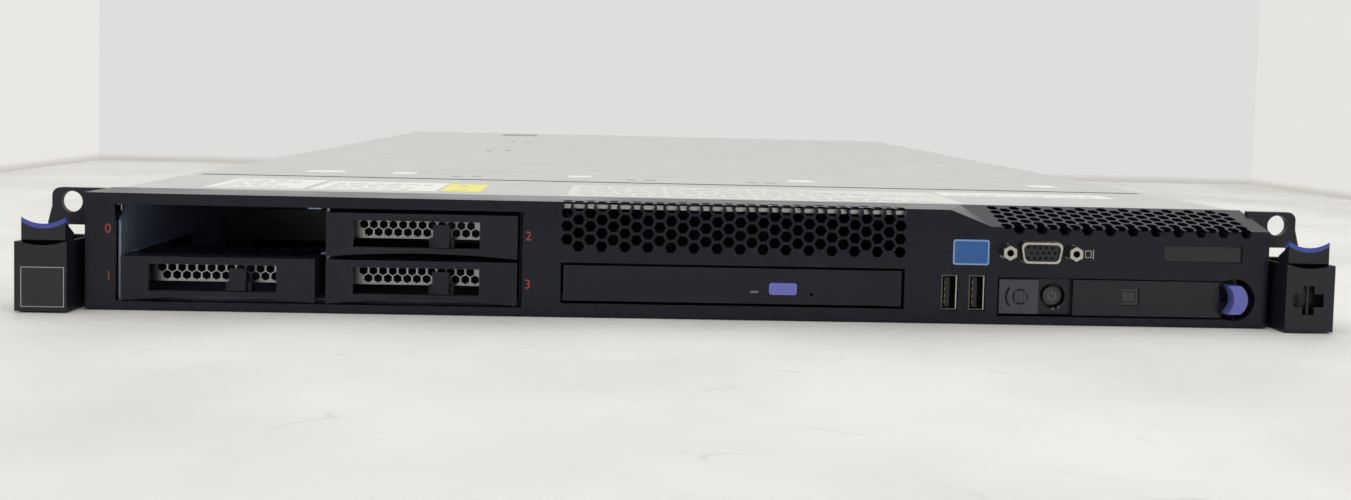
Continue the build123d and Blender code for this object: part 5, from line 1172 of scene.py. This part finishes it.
class SERVER_OT_stage(bpy.types.Operator):
    """Set the table, the light tent, the lamps and the camera"""

    bl_idname = "server.stage"
    bl_label = "Stage"

    def execute(self, context):
        scene = context.scene
        table = finish_of("matt_table", matt_table, scene.server_colours.floor)
        bm = bmesh.new()
        bmesh.ops.create_grid(bm, x_segments=1, y_segments=1, size=4.0)
        self.stage_mesh("floor", bm, table)
        left, right, near, back, tall = -0.573, 0.66, -2.0, FRONT + 0.86, 2.0
        corners = ((left, near), (left, back), (right, back), (right, near))
        tones = ("#E9E7E4", "#DEDEDC", "#E5E4E1")
        for side, tone, start, end in zip(("left", "back", "right"), tones, corners, corners[1:]):
            bm = bmesh.new()
            foot = bm.edges.new([bm.verts.new((x, y, 0)) for x, y in (start, end)])
            raised = bmesh.ops.extrude_edge_only(bm, edges=[foot])["geom"]
            moved = [g for g in raised if isinstance(g, bmesh.types.BMVert)]
            bmesh.ops.translate(bm, verts=moved, vec=(0, 0, tall))
            bm.normal_update()
            # Faces point into the tent
            for face in bm.faces:
                if face.normal.dot(Vector((0, 0, 1)) - face.calc_center_median()) < 0:
                    face.normal_flip()
            cloth = finish_of(f"tent_cloth_{side}", tent_wall, linear(tone))
            wall = self.stage_mesh(f"tent_{side}", bm, cloth)
            wall.visible_shadow = False
        self.lamp("top_light", (0.0, -0.1, 1.3), (0, 0, 0), 2.4, 21.5)
        self.lamp("front_light", (-0.3, -1.9, 1.1), (math.radians(62), 0, math.radians(-8)), 1.4, 1.5)
        world = bpy.data.worlds.new("soft_surround")
        world.use_nodes = True
        surround = world.node_tree.nodes["Background"]
        surround.inputs["Color"].default_value = linear("#F6F6F4")
        surround.inputs["Strength"].default_value = 0.4
        scene.world = world
        scene.view_settings.view_transform = "Standard"
        self.camera(scene)
        return {"FINISHED"}

    def stage_mesh(self, name, bm, material):
        """Turn a finished bmesh into a piece of the stage."""
        bm.normal_update()
        mesh = bpy.data.meshes.new(name)
        bm.to_mesh(mesh)
        bm.free()
        mesh.materials.append(material)
        thing = bpy.data.objects.new(name, mesh)
        bpy.context.scene.collection.objects.link(thing)
        return thing

    def lamp(self, name, spot, turn, size, power):
        """Add a square area lamp of a size in metres and a power in watts."""
        light = bpy.data.lights.new(name, "AREA")
        light.size = size
        light.energy = power
        thing = bpy.data.objects.new(name, light)
        thing.location = spot
        thing.rotation_euler = turn
        bpy.context.scene.collection.objects.link(thing)

    def camera(self, scene):
        """Add the camera that was fitted to the photograph."""
        lens = bpy.data.cameras.new("photo_view")
        lens.sensor_fit = "HORIZONTAL"
        lens.sensor_width = 36.0
        lens.lens = lens.sensor_width * FOCAL_LENGTH / PHOTO_WIDTH
        lens.shift_y = (AXIS_ROW - PHOTO_HEIGHT / 2) / PHOTO_WIDTH
        lens.clip_start = 0.01
        yaw, pitch, roll = (math.radians(a) for a in (2.458, -2.701, 1.392))
        ahead = Vector((math.sin(yaw) * math.cos(pitch), math.cos(yaw) * math.cos(pitch), math.sin(pitch)))
        right = Vector((math.cos(yaw), -math.sin(yaw), 0))
        up = right.cross(ahead)
        rolled_right = math.cos(roll) * right + math.sin(roll) * up
        rolled_up = -math.sin(roll) * right + math.cos(roll) * up
        turn = Matrix((rolled_right, rolled_up, -ahead)).transposed().to_4x4()
        eye = bpy.data.objects.new("photo_view", lens)
        eye.matrix_world = Matrix.Translation(at(-25.43, -455.63, 83.67)) @ turn
        scene.collection.objects.link(eye)
        scene.camera = eye


class SERVER_PT_pieces(bpy.types.Panel):
    """Lists the steps that dress the server"""

    bl_idname = "SERVER_PT_pieces"
    bl_label = "Rack server"
    bl_space_type = "VIEW_3D"
    bl_region_type = "UI"
    bl_category = "Server"

    def draw(self, context):
        for step in STEPS:
            self.layout.operator(step.bl_idname)
        for settings in (context.scene.server_colours, context.scene.server_sizes):
            for key in settings.__annotations__:
                self.layout.prop(settings, key)


STEPS = (
    SERVER_OT_finishes,
    SERVER_OT_bay_numbers,
    SERVER_OT_front_labels,
    SERVER_OT_top_labels,
    SERVER_OT_socket_contacts,
    SERVER_OT_panel_marks,
    SERVER_OT_screws,
    SERVER_OT_board_parts,
    SERVER_OT_memory_chips,
    SERVER_OT_inner_labels,
    SERVER_OT_rear_details,
    SERVER_OT_disc_drive,
    SERVER_OT_stage,
)
CLASSES = (ServerColours, ServerSizes) + STEPS + (SERVER_PT_pieces,)


def register():
    for cls in CLASSES:
        bpy.utils.register_class(cls)
    bpy.types.Scene.server_colours = bpy.props.PointerProperty(type=ServerColours)
    bpy.types.Scene.server_sizes = bpy.props.PointerProperty(type=ServerSizes)


def unregister():
    del bpy.types.Scene.server_sizes
    del bpy.types.Scene.server_colours
    for cls in reversed(CLASSES):
        bpy.utils.unregister_class(cls)


def main():
    register()
    bpy.ops.server.finishes()
    bpy.ops.server.bay_numbers()
    bpy.ops.server.front_labels()
    bpy.ops.server.top_labels()
    bpy.ops.server.socket_contacts()
    bpy.ops.server.panel_marks()
    bpy.ops.server.screws()
    bpy.ops.server.board_parts()
    bpy.ops.server.memory_chips()
    bpy.ops.server.inner_labels()
    bpy.ops.server.rear_details()
    bpy.ops.server.disc_drive()
    bpy.ops.server.stage()


if __name__ == "__main__":
    main()
